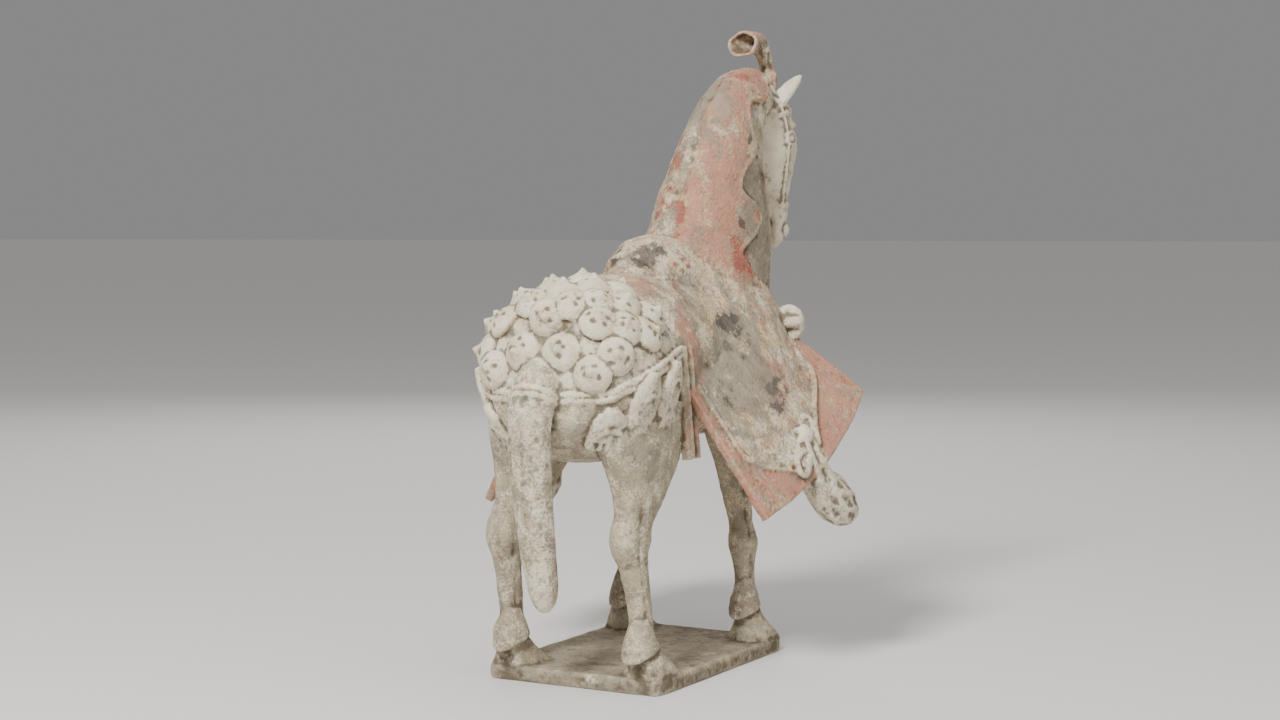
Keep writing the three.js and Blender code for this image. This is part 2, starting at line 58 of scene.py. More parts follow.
RIGHT, LEFT = 1, -1
SEED = 7

# Sizes shared with the part, in millimetres
SLAB_THICK = 9.0
STANCE_WIDTH, STANCE_LENGTH = 90.0, 135.0
HOOF_RADIUS, PASTERN_BACK = 17.0, 8.0
SLAB_HALF = (59.0, 84.5)
HEAD_TURN = 24.0
POLL_RIGHT, POLL_AHEAD = 19.0, 122.0
FLAP_THICK, CLOTH_THICK, HEM_BOW = 5.0, 4.0, 8.5
KNOT_A, KNOT_B = 0.46, 0.78


class Region(Enum):
    """The forms of the figure that are coated alike."""

    SLAB = 0
    TRUNK = 1
    NECK = 2
    MANE = 3
    LEG = 4
    HOOF = 5
    TAIL = 6
    HEAD = 7
    PLUME = 8
    CLOTH = 9
    FLAP = 10
    BAG = 11
    KNOT = 12
    SKIRT = 13
    BOSS = 14
    STRAP = 15
    TASSEL = 16


class Pigment(Enum):
    """The coats over the bare clay, in the order in which they are laid."""

    WHITE = 0
    OCHRE = 1
    PINK = 2
    RED = 3
    GREY = 4
    BLACK = 5


# Small mathematics


def at(right: float | np.ndarray, ahead: float | np.ndarray, up: float | np.ndarray) -> np.ndarray:
    """A point of the figure, from its place to the right, ahead and above the slab."""
    spots = np.broadcast_arrays(-np.asarray(right, float), -np.asarray(ahead, float),
                                SLAB_THICK + np.asarray(up, float))
    return np.stack(spots, -1)


def among(ids: np.ndarray, regions: Sequence[Region]) -> np.ndarray:
    """Whether each of the corners' region numbers is one of some regions."""
    return np.isin(ids, [region.value for region in regions])


def unit(vector: np.ndarray) -> np.ndarray:
    """A vector, or each of an array of vectors, at length one."""
    return vector / np.maximum(np.linalg.norm(vector, axis=-1, keepdims=True), 1e-9)


def ease(value: np.ndarray | float, low: float, high: float) -> np.ndarray:
    """A smooth step of a value from 0 at low to 1 at high."""
    share = np.clip((np.asarray(value, float) - low) / (high - low), 0.0, 1.0)
    return share * share * (3.0 - 2.0 * share)


def hump(value: np.ndarray, middle: float, reach: float) -> np.ndarray:
    """A smooth hump that is 1 at the middle and falls off over the reach."""
    return np.exp(-(((value - middle) / reach) ** 2))


def folds(phase: np.ndarray) -> np.ndarray:
    """Uneven folds of cloth along a phase in radians, between about -1 and 1."""
    return 0.7 * np.cos(phase) + 0.3 * np.cos(2.3 * phase + 1.1)


class ClayNoise:
    """Smooth random relief in space, the same at each run."""

    def __init__(self, seed: int) -> None:
        """Draws the table of the noise from a seed."""
        self.cells = 32
        self.table = np.random.default_rng(seed).uniform(-1.0, 1.0, (self.cells,) * 3)

    def sample(self, points: np.ndarray, size: float) -> np.ndarray:
        """The noise at points.

        Args:
            points: Places, one a row, in millimetres.
            size: The width of one lump, in millimetres.

        Returns:
            Values between -1 and 1.
        """
        spots = points / size
        base = np.floor(spots).astype(int)
        part = spots - base
        part = part * part * (3.0 - 2.0 * part)
        total = np.zeros(len(points))
        for corner in np.ndindex(2, 2, 2):
            cell = (base + np.array(corner)) % self.cells
            weight = np.prod(np.where(np.array(corner) == 1, part, 1.0 - part), axis=1)
            total += weight * self.table[cell[:, 0], cell[:, 1], cell[:, 2]]
        return total


NOISE = ClayNoise(SEED)


# Clay forms


@dataclass
class Shell:
    """A closed mesh, in millimetres.

    Attributes:
        verts: Its corners.
        faces: Its faces, each a list of corner numbers.
    """

    verts: np.ndarray
    faces: list[list[int]]


@dataclass
class Form:
    """One form of the figure before all are fused.

    Attributes:
        region: How it is coated.
        shell: Its mesh.
    """

    region: Region
    shell: Shell


def skin(rings: np.ndarray) -> Shell:
    """A closed skin over rings of equal length.

    Args:
        rings: Points, by ring and by place in the ring.

    Returns:
        The skin, closed with a fan at both ends.
    """
    steps, count = rings.shape[:2]
    grid = np.arange(steps * count).reshape(steps, count)
    after = np.roll(grid, -1, axis=1)
    quads = np.stack([grid[:-1], after[:-1], after[1:], grid[1:]], -1).reshape(-1, 4).tolist()
    first, last = steps * count, steps * count + 1
    quads += [[first, b, a] for a, b in zip(grid[0].tolist(), after[0].tolist())]
    quads += [[last, a, b] for a, b in zip(grid[-1].tolist(), after[-1].tolist())]
    verts = np.vstack([rings.reshape(-1, 3), rings[0].mean(0), rings[-1].mean(0)])
    return Shell(verts, quads)


class Limb:
    """A rounded limb along stations, with a half width and a half depth at each."""

    def __init__(self, places: np.ndarray, sizes: np.ndarray,
                 across: Sequence[float] = (1.0, 0.0, 0.0)) -> None:
        """Keeps the stations and the direction from which angles are measured."""
        self.places = np.asarray(places, float)
        self.sizes = np.asarray(sizes, float)
        self.across = np.asarray(across, float)

    @staticmethod
    def spline(values: np.ndarray, t: np.ndarray, even: bool) -> np.ndarray:
        """A curve through values.

        Args:
            values: The values to pass through, one a row.
            t: Shares of the way along, from 0 to 1.
            even: Whether the spacing of the values is left out of account.

        Returns:
            The curve's value at each share.
        """
        t = np.asarray(t, float)
        spot = np.clip(t, 0.0, 1.0) * (len(values) - 1)
        low = np.minimum(spot.astype(int), len(values) - 2)
        weight = (spot - low)[..., None]
        padded = np.vstack([2 * values[0] - values[1], values, 2 * values[-1] - values[-2]])
        a, b, c, d = (padded[low + k] for k in range(4))
        if even:
            start, end = 0.5 * (c - a), 0.5 * (d - b)
        else:
            gaps = [np.sqrt(np.linalg.norm(q - p, axis=-1, keepdims=True)) for p, q in
                    ((a, b), (b, c), (c, d))]
            start = ((b - a) / gaps[0] - (c - a) / (gaps[0] + gaps[1]) + (c - b) / gaps[1]) * gaps[1]
            end = ((c - b) / gaps[1] - (d - b) / (gaps[1] + gaps[2]) + (d - c) / gaps[2]) * gaps[1]
        square = -3 * b + 3 * c - 2 * start - end
        cube = 2 * b - 2 * c + start + end
        return b + start * weight + square * weight**2 + cube * weight**3

    def path(self, t: np.ndarray | float) -> np.ndarray:
        """The middle of the limb at shares of its length."""
        return self.spline(self.places, np.asarray(t, float), even=False)

    def axes(self, t: np.ndarray | float) -> tuple[np.ndarray, np.ndarray]:
        """The directions across and deep of the ring at shares of the length."""
        step = 1e-3
        t = np.asarray(t, float)
        along = unit(self.path(np.minimum(t + step, 1.0)) - self.path(np.maximum(t - step, 0.0)))
        deep = unit(np.cross(self.across, along))
        return unit(np.cross(along, deep)), deep

    def point(self, t: np.ndarray | float, angle: np.ndarray | float,
              lift: np.ndarray | float = 0.0) -> np.ndarray:
        """Points of the skin.

        Args:
            t: Shares of the length.
            angle: Angles from the across direction, in radians.
            lift: What is added to the radius, in millimetres.

        Returns:
            The points, in the shape that t and angle give together.
        """
        across, deep = self.axes(t)
        size = self.spline(self.sizes, np.asarray(t, float), even=True)
        x = np.cos(angle) * (size[..., 0] + lift)
        y = np.sin(angle) * (size[..., 1] + lift)
        return self.path(t) + across * x[..., None] + deep * y[..., None]

    def normal(self, t: float, angle: float) -> np.ndarray:
        """The outward direction of the skin at one place."""
        step = 0.01
        around = self.point(t, angle + step) - self.point(t, angle - step)
        along = self.point(min(t + step, 1.0), angle) - self.point(max(t - step, 0.0), angle)
        normal = unit(np.cross(around, along))
        outward = self.point(t, angle) - self.path(t)
        return -normal if normal @ outward < 0 else normal

    def share_ahead(self, ahead: float) -> float:
        """The share of the length that lies a given way ahead of the slab's middle."""
        low, high = 0.0, 1.0
        for _ in range(24):
            middle = (low + high) / 2
            if -self.path(middle)[1] < ahead:
                low = middle
            else:
                high = middle
        return low

    def shell(self, sides: int, steps: int,
              lift: Callable[[np.ndarray, np.ndarray], np.ndarray] | None = None) -> Shell:
        """The limb's closed skin.

        Args:
            sides: Points round a ring.
            steps: Rings along the limb, less one.
            lift: What is added to the radius, from the share and the angle.

        Returns:
            The skin.
        """
        t = np.linspace(0.0, 1.0, steps + 1)[:, None]
        angle = np.linspace(0.0, 2 * np.pi, sides, endpoint=False)[None, :]
        return skin(self.point(t, angle, lift(t, angle) if lift else 0.0))


def limb(rows: Sequence[Sequence[float]], across: Sequence[float] = (1.0, 0.0, 0.0)) -> Limb:
    """A limb from rows of right, ahead, up, half width and half depth."""
    table = np.array(rows, float)
    return Limb(at(table[:, 0], table[:, 1], table[:, 2]), table[:, 3:5], across)


def tube(points: np.ndarray, wide: float, deep: float, across: Sequence[float]) -> Shell:
    """A cord of even thickness through points, with its ends drawn in."""
    sizes = np.tile([wide, deep], (len(points), 1)).astype(float)
    sizes[[0, -1]] *= 0.6
    return Limb(points, sizes, across).shell(12, 6 * len(points))


def lump(place: np.ndarray, wide: float, high: float, thick: float, out: np.ndarray,
         lobes: int = 0, depth: float = 0.0) -> Shell:
    """A squashed ball.

    Args:
        place: Its middle.
        wide: Half its width, across the outward direction.
        high: Half its height.
        thick: Half its thickness, along the outward direction.
        out: The outward direction.
        lobes: How many petals its face is parted into.
        depth: How deep the partings are.

    Returns:
        The ball.
    """
    out = unit(np.asarray(out, float))
    side = unit(np.cross((0.0, 0.0, 1.0), out))
    over = np.cross(out, side)
    polar = np.linspace(0.04, np.pi - 0.04, 24)[:, None]
    turn = np.linspace(0.0, 2 * np.pi, 40, endpoint=False)[None, :]
    ripple = 1.0 - depth * (0.5 - 0.5 * np.cos(lobes * turn)) * np.sin(polar) ** 2
    x = wide * np.sin(polar) * np.cos(turn) * ripple
    y = high * np.sin(polar) * np.sin(turn) * ripple
    z = thick * np.cos(polar) * np.ones_like(turn)
    return skin(place + x[..., None] * side + y[..., None] * over + z[..., None] * out)


def sheet(point_at: Callable[[np.ndarray, np.ndarray], np.ndarray], columns: int, rows: int,
          low: Callable[[np.ndarray, np.ndarray], np.ndarray],
          high: Callable[[np.ndarray, np.ndarray], np.ndarray]) -> Shell:
    """A closed sheet over a surface of two shares, a and b.

    Args:
        point_at: The surface, from shares a and b.
        columns: Steps along a.
        rows: Steps along b.
        low: How far the lower face lies along the normal.
        high: How far the upper face lies along the normal.

    Returns:
        The sheet.
    """
    step = 1e-3
    a = np.linspace(0.0, 1.0, columns + 1)[:, None] * np.ones((1, rows + 1))
    b = np.linspace(0.0, 1.0, rows + 1)[None, :] * np.ones((columns + 1, 1))
    along_a = point_at(np.minimum(a + step, 1), b) - point_at(np.maximum(a - step, 0), b)
    along_b = point_at(a, np.minimum(b + step, 1)) - point_at(a, np.maximum(b - step, 0))
    normal = unit(np.cross(along_a, along_b))
    base = point_at(a, b)
    upper = base + normal * (high(a, b) * np.ones_like(a))[..., None]
    lower = base + normal * (low(a, b) * np.ones_like(a))[..., None]
    grid = np.arange(base.shape[0] * base.shape[1]).reshape(base.shape[:2])
    corners = np.stack([grid[:-1, :-1], grid[1:, :-1], grid[1:, 1:], grid[:-1, 1:]], -1).reshape(-1, 4)
    under = grid.size
    rim = np.concatenate([grid[:-1, 0], grid[-1, :-1], grid[:0:-1, -1], grid[0, :0:-1]])
    after = np.roll(rim, -1)
    sides = np.stack([rim, rim + under, after + under, after], -1)
    faces = np.vstack([corners, corners[:, ::-1] + under, sides]).tolist()
    return Shell(np.vstack([upper.reshape(-1, 3), lower.reshape(-1, 3)]), faces)


# Sub-assemblies


@dataclass
class Slab:
    """The thin slab that the hooves stand on.

    Attributes:
        sides: Points round its outline.
        squareness: How square the corners are.
        ragged: How far the hand-cut edge wanders, in millimetres.
    """

    sides: int = 420
    squareness: float = 24.0
    ragged: float = 0.7

    def forms(self) -> list[Form]:
        """The slab as one form."""
        turn = np.linspace(0.0, 2 * np.pi, self.sides, endpoint=False)
        power = 2.0 / self.squareness
        x = np.sign(np.cos(turn)) * np.abs(np.cos(turn)) ** power
        y = np.sign(np.sin(turn)) * np.abs(np.sin(turn)) ** power
        rings = []
        for up, inset in ((0.0, 1.3), (0.9, 0.3), (3.0, 0.0), (6.5, 0.2), (8.3, 0.6), (9.0, 1.8)):
            edge = np.stack([x * SLAB_HALF[0], y * SLAB_HALF[1], np.full_like(x, up)], -1)
            wander = inset + self.ragged * (1.0 + NOISE.sample(edge, 7.0))
            rings.append(edge - unit(edge * (1, 1, 0)) * wander[:, None])
        return [Form(Region.SLAB, skin(np.array(rings)))]


@dataclass
class Torso:
    """The barrel, rump and chest, and the arched neck with its mane.

    Attributes:
        mane_edge: The mane's front edge, in degrees round the neck.
        mane_wave: How far that edge waves, in degrees.
        mane_raise: How far the mane stands above the neck, in millimetres.
        trunk: The barrel.
        neck: The neck.
    """

    mane_edge: float = 200.0
    mane_wave: float = 12.0
    mane_raise: float = 1.9
    trunk: Limb = field(default_factory=lambda: limb([
        [0, -118, 176, 13, 15], [0, -112, 175, 36, 36], [0, -96, 174, 51, 47], [0, -70, 174, 56, 52],
        [0, -40, 176, 52, 50], [0, 0, 177, 48, 48], [0, 40, 178, 49, 50], [0, 74, 182, 51, 53],
        [0, 100, 188, 47, 48], [0, 117, 194, 35, 36], [0, 125, 198, 15, 17]]))
    neck: Limb = field(default_factory=lambda: limb([
        [0, 64, 194, 44, 51], [3, 75, 222, 41, 53], [6, 80, 250, 37, 51], [10, 79, 280, 32, 44],
        [15, 77, 303, 26, 36], [19, 82, 324, 21, 30], [21, 94, 338, 17, 24], [22, 108, 343, 14, 17],
        [22, 120, 339, 11, 11]]))

    def edge(self, t: np.ndarray) -> np.ndarray:
        """The angle of the mane's waved edge at shares of the neck, in radians."""
        down = (0.78 - t) / 0.66
        return np.radians(self.mane_edge + self.mane_wave * -np.cos(6 * np.pi * down) - 8 * down)

    def mane(self) -> Shell:
        """The mane, a thin sheet laid down the right of the neck from the crest to a waved edge."""
        crest, low, high = 4.75, 0.04, 0.9

        def point_at(a: np.ndarray, b: np.ndarray) -> np.ndarray:
            """The neck's surface under the mane."""
            t = low + (high - low) * b
            return self.neck.point(t, self.edge(t) + (crest - self.edge(t)) * a)

        def outside(a: np.ndarray, b: np.ndarray) -> np.ndarray:
            """How far the mane stands off, thinned out at the crest."""
            return -self.mane_raise * (1 - ease(a, 0.75, 1.0)) - 0.2 * hump(a, 0.05, 0.03)

        return sheet(point_at, 100, 110, lambda a, b: 3.0 + 0 * a, outside)

    def forms(self) -> list[Form]:
        """Barrel, neck, mane and the roll of the mane's edge."""
        share = np.linspace(0.84, 0.1, 50)
        roll = self.neck.point(share, self.edge(share), 1.2)
        return [
            Form(Region.TRUNK, self.trunk.shell(110, 130)),
            Form(Region.NECK, self.neck.shell(110, 110)),
            Form(Region.MANE, self.mane()),
            Form(Region.MANE, tube(roll, 1.9, 1.9, (0.0, 1.0, 0.3))),
        ]


@dataclass
class Legs:
    """The four legs on their hooves.

    Attributes:
        hind: Share of the way up, ahead, half width and half depth of a hind leg.
        front: The same for a front leg.
        hock_bow: How far the left hock bows out, in millimetres.
    """

    hind: Sequence[Sequence[float]] = (
        (0.07, -9, 6, 7), (0.12, -11, 9.5, 11.5), (0.18, -9, 7, 8), (0.3, -11, 7, 8.5),
        (0.42, -15, 8, 11), (0.5, -17, 11, 15.5), (0.58, -12, 10, 16), (0.7, -5, 14, 26),
        (0.84, -1, 19, 39), (1, 0, 22, 44))
    front: Sequence[Sequence[float]] = (
        (0.1, -8, 6, 6.5), (0.155, -9, 9, 10.5), (0.21, -7, 6.5, 7.5), (0.3, -6, 6.4, 7.8),
        (0.39, -5, 9, 10.5), (0.47, -6, 7.5, 9), (0.58, -8, 9, 12), (0.74, -6, 13, 20),
        (0.86, -4, 18, 29), (1, 0, 22, 34))
    hock_bow: float = 6.0

    def leg(self, foot: np.ndarray, hip: np.ndarray, bow: float,
            rows: Sequence[Sequence[float]]) -> Shell:
        """One leg, with a crease down each side of its hock or knee and grooved tendons."""
        table = np.array(rows, float)
        places = foot + (hip - foot) * table[:, :1]
        places[:, 0] -= bow * np.sin(np.pi * table[:, 0])
        places[:, 1] -= table[:, 1]

        def creased(t: np.ndarray, angle: np.ndarray) -> np.ndarray:
            """Creases and tendons, from the share and the angle."""
            sides = hump(angle, np.radians(205), 0.16) + hump(angle, np.radians(335), 0.16)
            joint = ease(t, 0.42, 0.5) * (1 - ease(t, 0.66, 0.78))
            shank = ease(t, 0.2, 0.26) * (1 - ease(t, 0.36, 0.44))
            return -sides * (1.1 * joint + 0.7 * shank)

        return Limb(places, table[:, 2:4]).shell(44, 150, creased)

    def hoof(self, foot: np.ndarray) -> Shell:
        """One hoof of level rings, spread onto the slab."""
        rows = np.array([[0, -2, 0.98, 1.04], [0, 1, 0.97, 1.03], [0.12, 3, 0.88, 0.95],
                         [0.4, 7, 0.74, 0.82], [0.7, 12, 0.58, 0.66], [0.85, 15, 0.50, 0.58],
                         [1, 20, 0.42, 0.48], [1, 23, 0.38, 0.44]])
        turn = np.linspace(0.0, 2 * np.pi, 48, endpoint=False)
        rings = []
        for back, up, wide, deep in rows:
            toe = 1.0 + 0.05 * np.cos(3 * turn + 0.6)
            x = np.cos(turn) * wide * HOOF_RADIUS * toe
            y = np.sin(turn) * deep * HOOF_RADIUS * toe + back * PASTERN_BACK
            ring = foot + np.stack([x, y, np.full_like(x, up)], -1)
            edge = np.array([SLAB_HALF[0] - 1.4, SLAB_HALF[1] - 1.4])
            ring[:, :2] = np.clip(ring[:, :2], -edge, edge)
            rings.append(ring)
        return skin(np.array(rings))

    def sleeve(self, middle: np.ndarray, wide: float, deep: float) -> Shell:
        """The sleeve of hair over a fetlock, with a crisp lower edge that slants down to the heel."""
        rows = ((14, 0.52, 0.50), (9, 0.72, 0.72), (4, 0.90, 0.88), (0, 1.02, 1.02),
                (-4.5, 1.10, 1.12), (-5.8, 0.9, 0.9), (-3, 0.45, 0.45))
        turn = np.linspace(0.0, 2 * np.pi, 48, endpoint=False)
        heel = np.sin(turn)
        rings = []
        for up, across, along in rows:
            edge = ease(-up, -2.0, 5.0)
            y = heel * along * deep + 2.4 * edge * np.maximum(heel, 0.0) ** 3
            z = up - 3.6 * edge * heel - 1.6 * edge * np.maximum(heel, 0.0) ** 3
            rings.append(middle + np.stack([np.cos(turn) * across * wide, y, z], -1))
        return skin(np.array(rings))

    def forms(self) -> list[Form]:
        """The legs, the sleeves of hair over their fetlocks, and the hooves."""
        made = []
        for side in (RIGHT, LEFT):
            out = side * STANCE_WIDTH / 2
            hind = np.array([-out, STANCE_LENGTH / 2, SLAB_THICK])
            front = np.array([-out, -STANCE_LENGTH / 2, SLAB_THICK])
            bow = -self.hock_bow if side == LEFT else 0.0
            made.append(Form(Region.LEG, self.leg(hind, at(side * 33, -62, 158), bow, self.hind)))
            made.append(Form(Region.LEG, self.leg(front, at(side * 33, 64, 158), 0.0, self.front)))
            made.append(Form(Region.LEG, self.sleeve(hind + (side * 1.2, 11, 20), 9.5, 11.5)))
            made.append(Form(Region.LEG, self.sleeve(front + (side * 1.6, 9.5, 25), 9.0, 10.5)))
            made += [Form(Region.HOOF, self.hoof(hind)), Form(Region.HOOF, self.hoof(front))]
        return made


@dataclass
class Tail:
    """The thick tail that hangs clear of the hocks.

    Attributes:
        top: Its height at the croup.
        drop: Its length.
        wide: Half its width.
    """

    top: float = 178.0
    drop: float = 138.0
    wide: float = 12.0

    def forms(self) -> list[Form]:
        """The tail, faintly combed along its length."""
        top, drop, wide = self.top, self.drop, self.wide
        tongue = limb([
            [0, -98, top - 6, wide, 12], [0, -112, top - 3, wide * 1.12, 13],
            [0, -123, top - 14, wide * 1.14, 11], [0, -128, top - drop * 0.22, wide * 1.08, 10.5],
            [0, -126, top - drop * 0.45, wide * 1.02, 10], [1, -122, top - drop * 0.7, wide * 0.9, 9.5],
            [2, -117, top - drop * 0.9, wide * 0.74, 8.5], [2, -115, top - drop * 0.97, wide * 0.5, 6],
            [2, -114.5, top - drop, wide * 0.16, 2]])

        def combed(t: np.ndarray, angle: np.ndarray) -> np.ndarray:
            """Shallow locks along the tail."""
            return 0.28 * np.cos(9 * angle + 3 * t) * ease(t, 0.1, 0.25) * (1 - ease(t, 0.4, 0.75))

        turn = np.linspace(0.0, 2 * np.pi, 33)
        made = [Form(Region.TAIL, tongue.shell(60, 150, combed))]
        for share in (0.245, 0.270):
            cord = tongue.point(np.full(33, share), turn, -0.2)
            made.append(Form(Region.STRAP, tube(cord, 1.7, 1.3, (0.0, 0.0, 1.0))))
        return made


@dataclass
class Head:
    """The head, turned to the horse's right, with its bridle, ears and tied forelock.

    Attributes:
        turn: How far the head turns, in degrees.
        ear: An ear's length.
        mouth: Half the width of the forelock's trumpet mouth.
    """

    turn: float = HEAD_TURN
    ear: float = 25.0
    mouth: float = 10.0

    def spot(self, right: float, ahead: float, up: float) -> np.ndarray:
        """A point of the head, in the head's own directions."""
        angle = -math.radians(self.turn)
        x, y = -right, -ahead
        turned = np.array([x * math.cos(angle) - y * math.sin(angle),
                           x * math.sin(angle) + y * math.cos(angle), 0.0])
        return at(POLL_RIGHT, POLL_AHEAD, up) + turned

    def way(self, right: float, ahead: float, up: float) -> np.ndarray:
        """A direction of the head."""
        return unit(self.spot(right, ahead, up) - self.spot(0, 0, 0))

    def limb(self, rows: Sequence[Sequence[float]]) -> Limb:
        """A limb in the head's own directions."""
        places = np.array([self.spot(*row[:3]) for row in rows])
        return Limb(places, np.array([row[3:5] for row in rows], float), self.way(1, 0, 0))

    def skull(self) -> Limb:
        """Skull, cheeks and muzzle."""
        return self.limb([
            [0, -10, 338, 9, 9], [0, -3, 343, 14, 14], [0, 3, 335, 17, 20], [0, 6, 321, 18.5, 23],
            [0, 7, 308, 18, 23.5], [0, 9, 294, 14.5, 19], [-0.5, 11, 278, 11, 14],
            [-1, 11, 263, 11.5, 13], [-1.5, 10.5, 253, 11, 12], [-1.5, 10.5, 247, 7, 7.5]])

    def shaped(self, t: np.ndarray, angle: np.ndarray) -> np.ndarray:
        """The parted lips, the hollow below the eye and the cheek's edge."""
        gape = 0.14 + 0.24 * ease(t, 0.76, 1.0)
        lips = -6.0 * ease(t, 0.71, 0.8) * np.exp(-(((np.sin(angle) + 0.45) / gape) ** 2))
        sides = np.abs(np.cos(angle)) ** 2
        cheek = 0.9 * hump(t, 0.43, 0.1) * ease(-np.sin(angle), -0.2, 0.5) * sides
        hollow = -1.3 * hump(t, 0.58, 0.07) * hump(np.sin(angle), 0.45, 0.35) * sides
        return lips + cheek + hollow

    def face(self) -> list[Form]:
        """Eyes with lids, brows and nostrils."""
        made = []
        for side in (RIGHT, LEFT):
            out = self.way(side, 0.45, 0)
            eye = self.spot(side * 14, 14.5, 318)
            made.append(lump(eye, 5.4, 3.8, 4.6, out))
            ahead, up = unit(np.cross(out, (0, 0, 1.0))), np.array([0, 0, 1.0])
            turn = np.linspace(0.0, 2 * np.pi, 17)[:, None]
            lids = eye + out * 3.0 + ahead * 6.2 * np.cos(turn) + up * 3.9 * np.sin(turn)
            made.append(tube(lids, 1.1, 1.1, out))
            made.append(lump(self.spot(side * 11, 18, 327), 8, 3.4, 4.2, out))
            made.append(lump(self.spot(side * 7.5 - 1.5, 17.5, 258), 4.6, 5.2, 4.8, out))
        return [Form(Region.HEAD, shell) for shell in made]

    def bridle(self) -> list[Form]:
        """Noseband, browband and cheek straps that lie on the skull."""
        skull = self.skull()
        turn = np.linspace(0.0, 2 * np.pi, 33)
        made = [tube(skull.point(np.full(33, share), turn, -0.2), 2.1, 1.3, (0.0, 0.0, 1.0))
                for share in (0.25, 0.69)]
        for angle in (0.25, np.pi - 0.25):
            share = np.linspace(0.12, 0.7, 18)
            cheek = skull.point(share, np.full(18, angle), -0.5)
            made.append(tube(cheek, 1.2, 1.9, self.way(0, 1, 0)))
        return [Form(Region.STRAP, shell) for shell in made]

    def ears(self) -> list[Form]:
        """Two pricked ears, hollowed in front."""
        made = []
        for side in (RIGHT, LEFT):
            rows = [[side * 9, 4, 334, 5, 4], [side * 12, 9, 334 + self.ear * 0.3, 6.6, 5],
                    [side * 15, 15, 334 + self.ear * 0.62, 6, 4.5],
                    [side * 17, 21, 334 + self.ear * 0.9, 3.2, 2.6], [side * 18, 23, 334 + self.ear, 1, 0.8]]

            def hollow(t: np.ndarray, angle: np.ndarray) -> np.ndarray:
                """The bowl of the ear."""
                return -3.4 * hump(angle, 1.5 * np.pi, 0.6) * np.sin(np.pi * np.clip(t * 1.1, 0, 1)) ** 0.7

            made.append(Form(Region.HEAD, self.limb(rows).shell(36, 40, hollow)))
        return made

    def plume(self) -> list[Form]:
        """The tied forelock: a bound, twisted stem that curls back into a trumpet mouth."""
        bell = limb([
            [26, 124, 334, 6, 6], [26, 127, 350, 5, 5], [23, 128, 366, 4.6, 4.6], [21, 124, 377, 6, 5.5],
            [19, 116, 380.5, self.mouth * 0.85, 6.5], [16, 106, 378, self.mouth * 1.15, 6.5]],
            (0.95, 0.3, 0))
        angle = np.linspace(0.0, 2 * np.pi, 48, endpoint=False)[None, :]
        t = np.linspace(0.0, 1.0, 70)[:, None]
        twist = 0.35 * np.cos(6 * angle + 11 * t) * (1 - ease(t, 0.5, 0.8))
        back = np.linspace(1.0, 0.6, 26)[:, None]
        ruffle = 0.7 + 0.35 * np.cos(5 * angle)
        binding = 1.2 * hump(t, 0.3, 0.03)
        outer = bell.point(t, angle, twist + binding + ruffle * ease(t, 0.8, 1.0))
        wall = 1.7 + 1.6 * ease(1 - back, 0.05, 0.3)
        inner = bell.point(back, angle, ruffle * ease(back, 0.8, 1.0) - wall)
        rings = np.vstack([outer, inner])
        share = np.vstack([t, back])
        scoop = -4.5 * np.sin(angle) * ease(share, 0.82, 1.0)
        rings += scoop[..., None] * unit(bell.path(1.0) - bell.path(0.93))
        return [Form(Region.PLUME, skin(rings))]

    def forms(self) -> list[Form]:
        """All the forms of the head."""
        skull = Form(Region.HEAD, self.skull().shell(80, 110, self.shaped))
        return [skull, *self.face(), *self.bridle(), *self.ears(), *self.plume()]


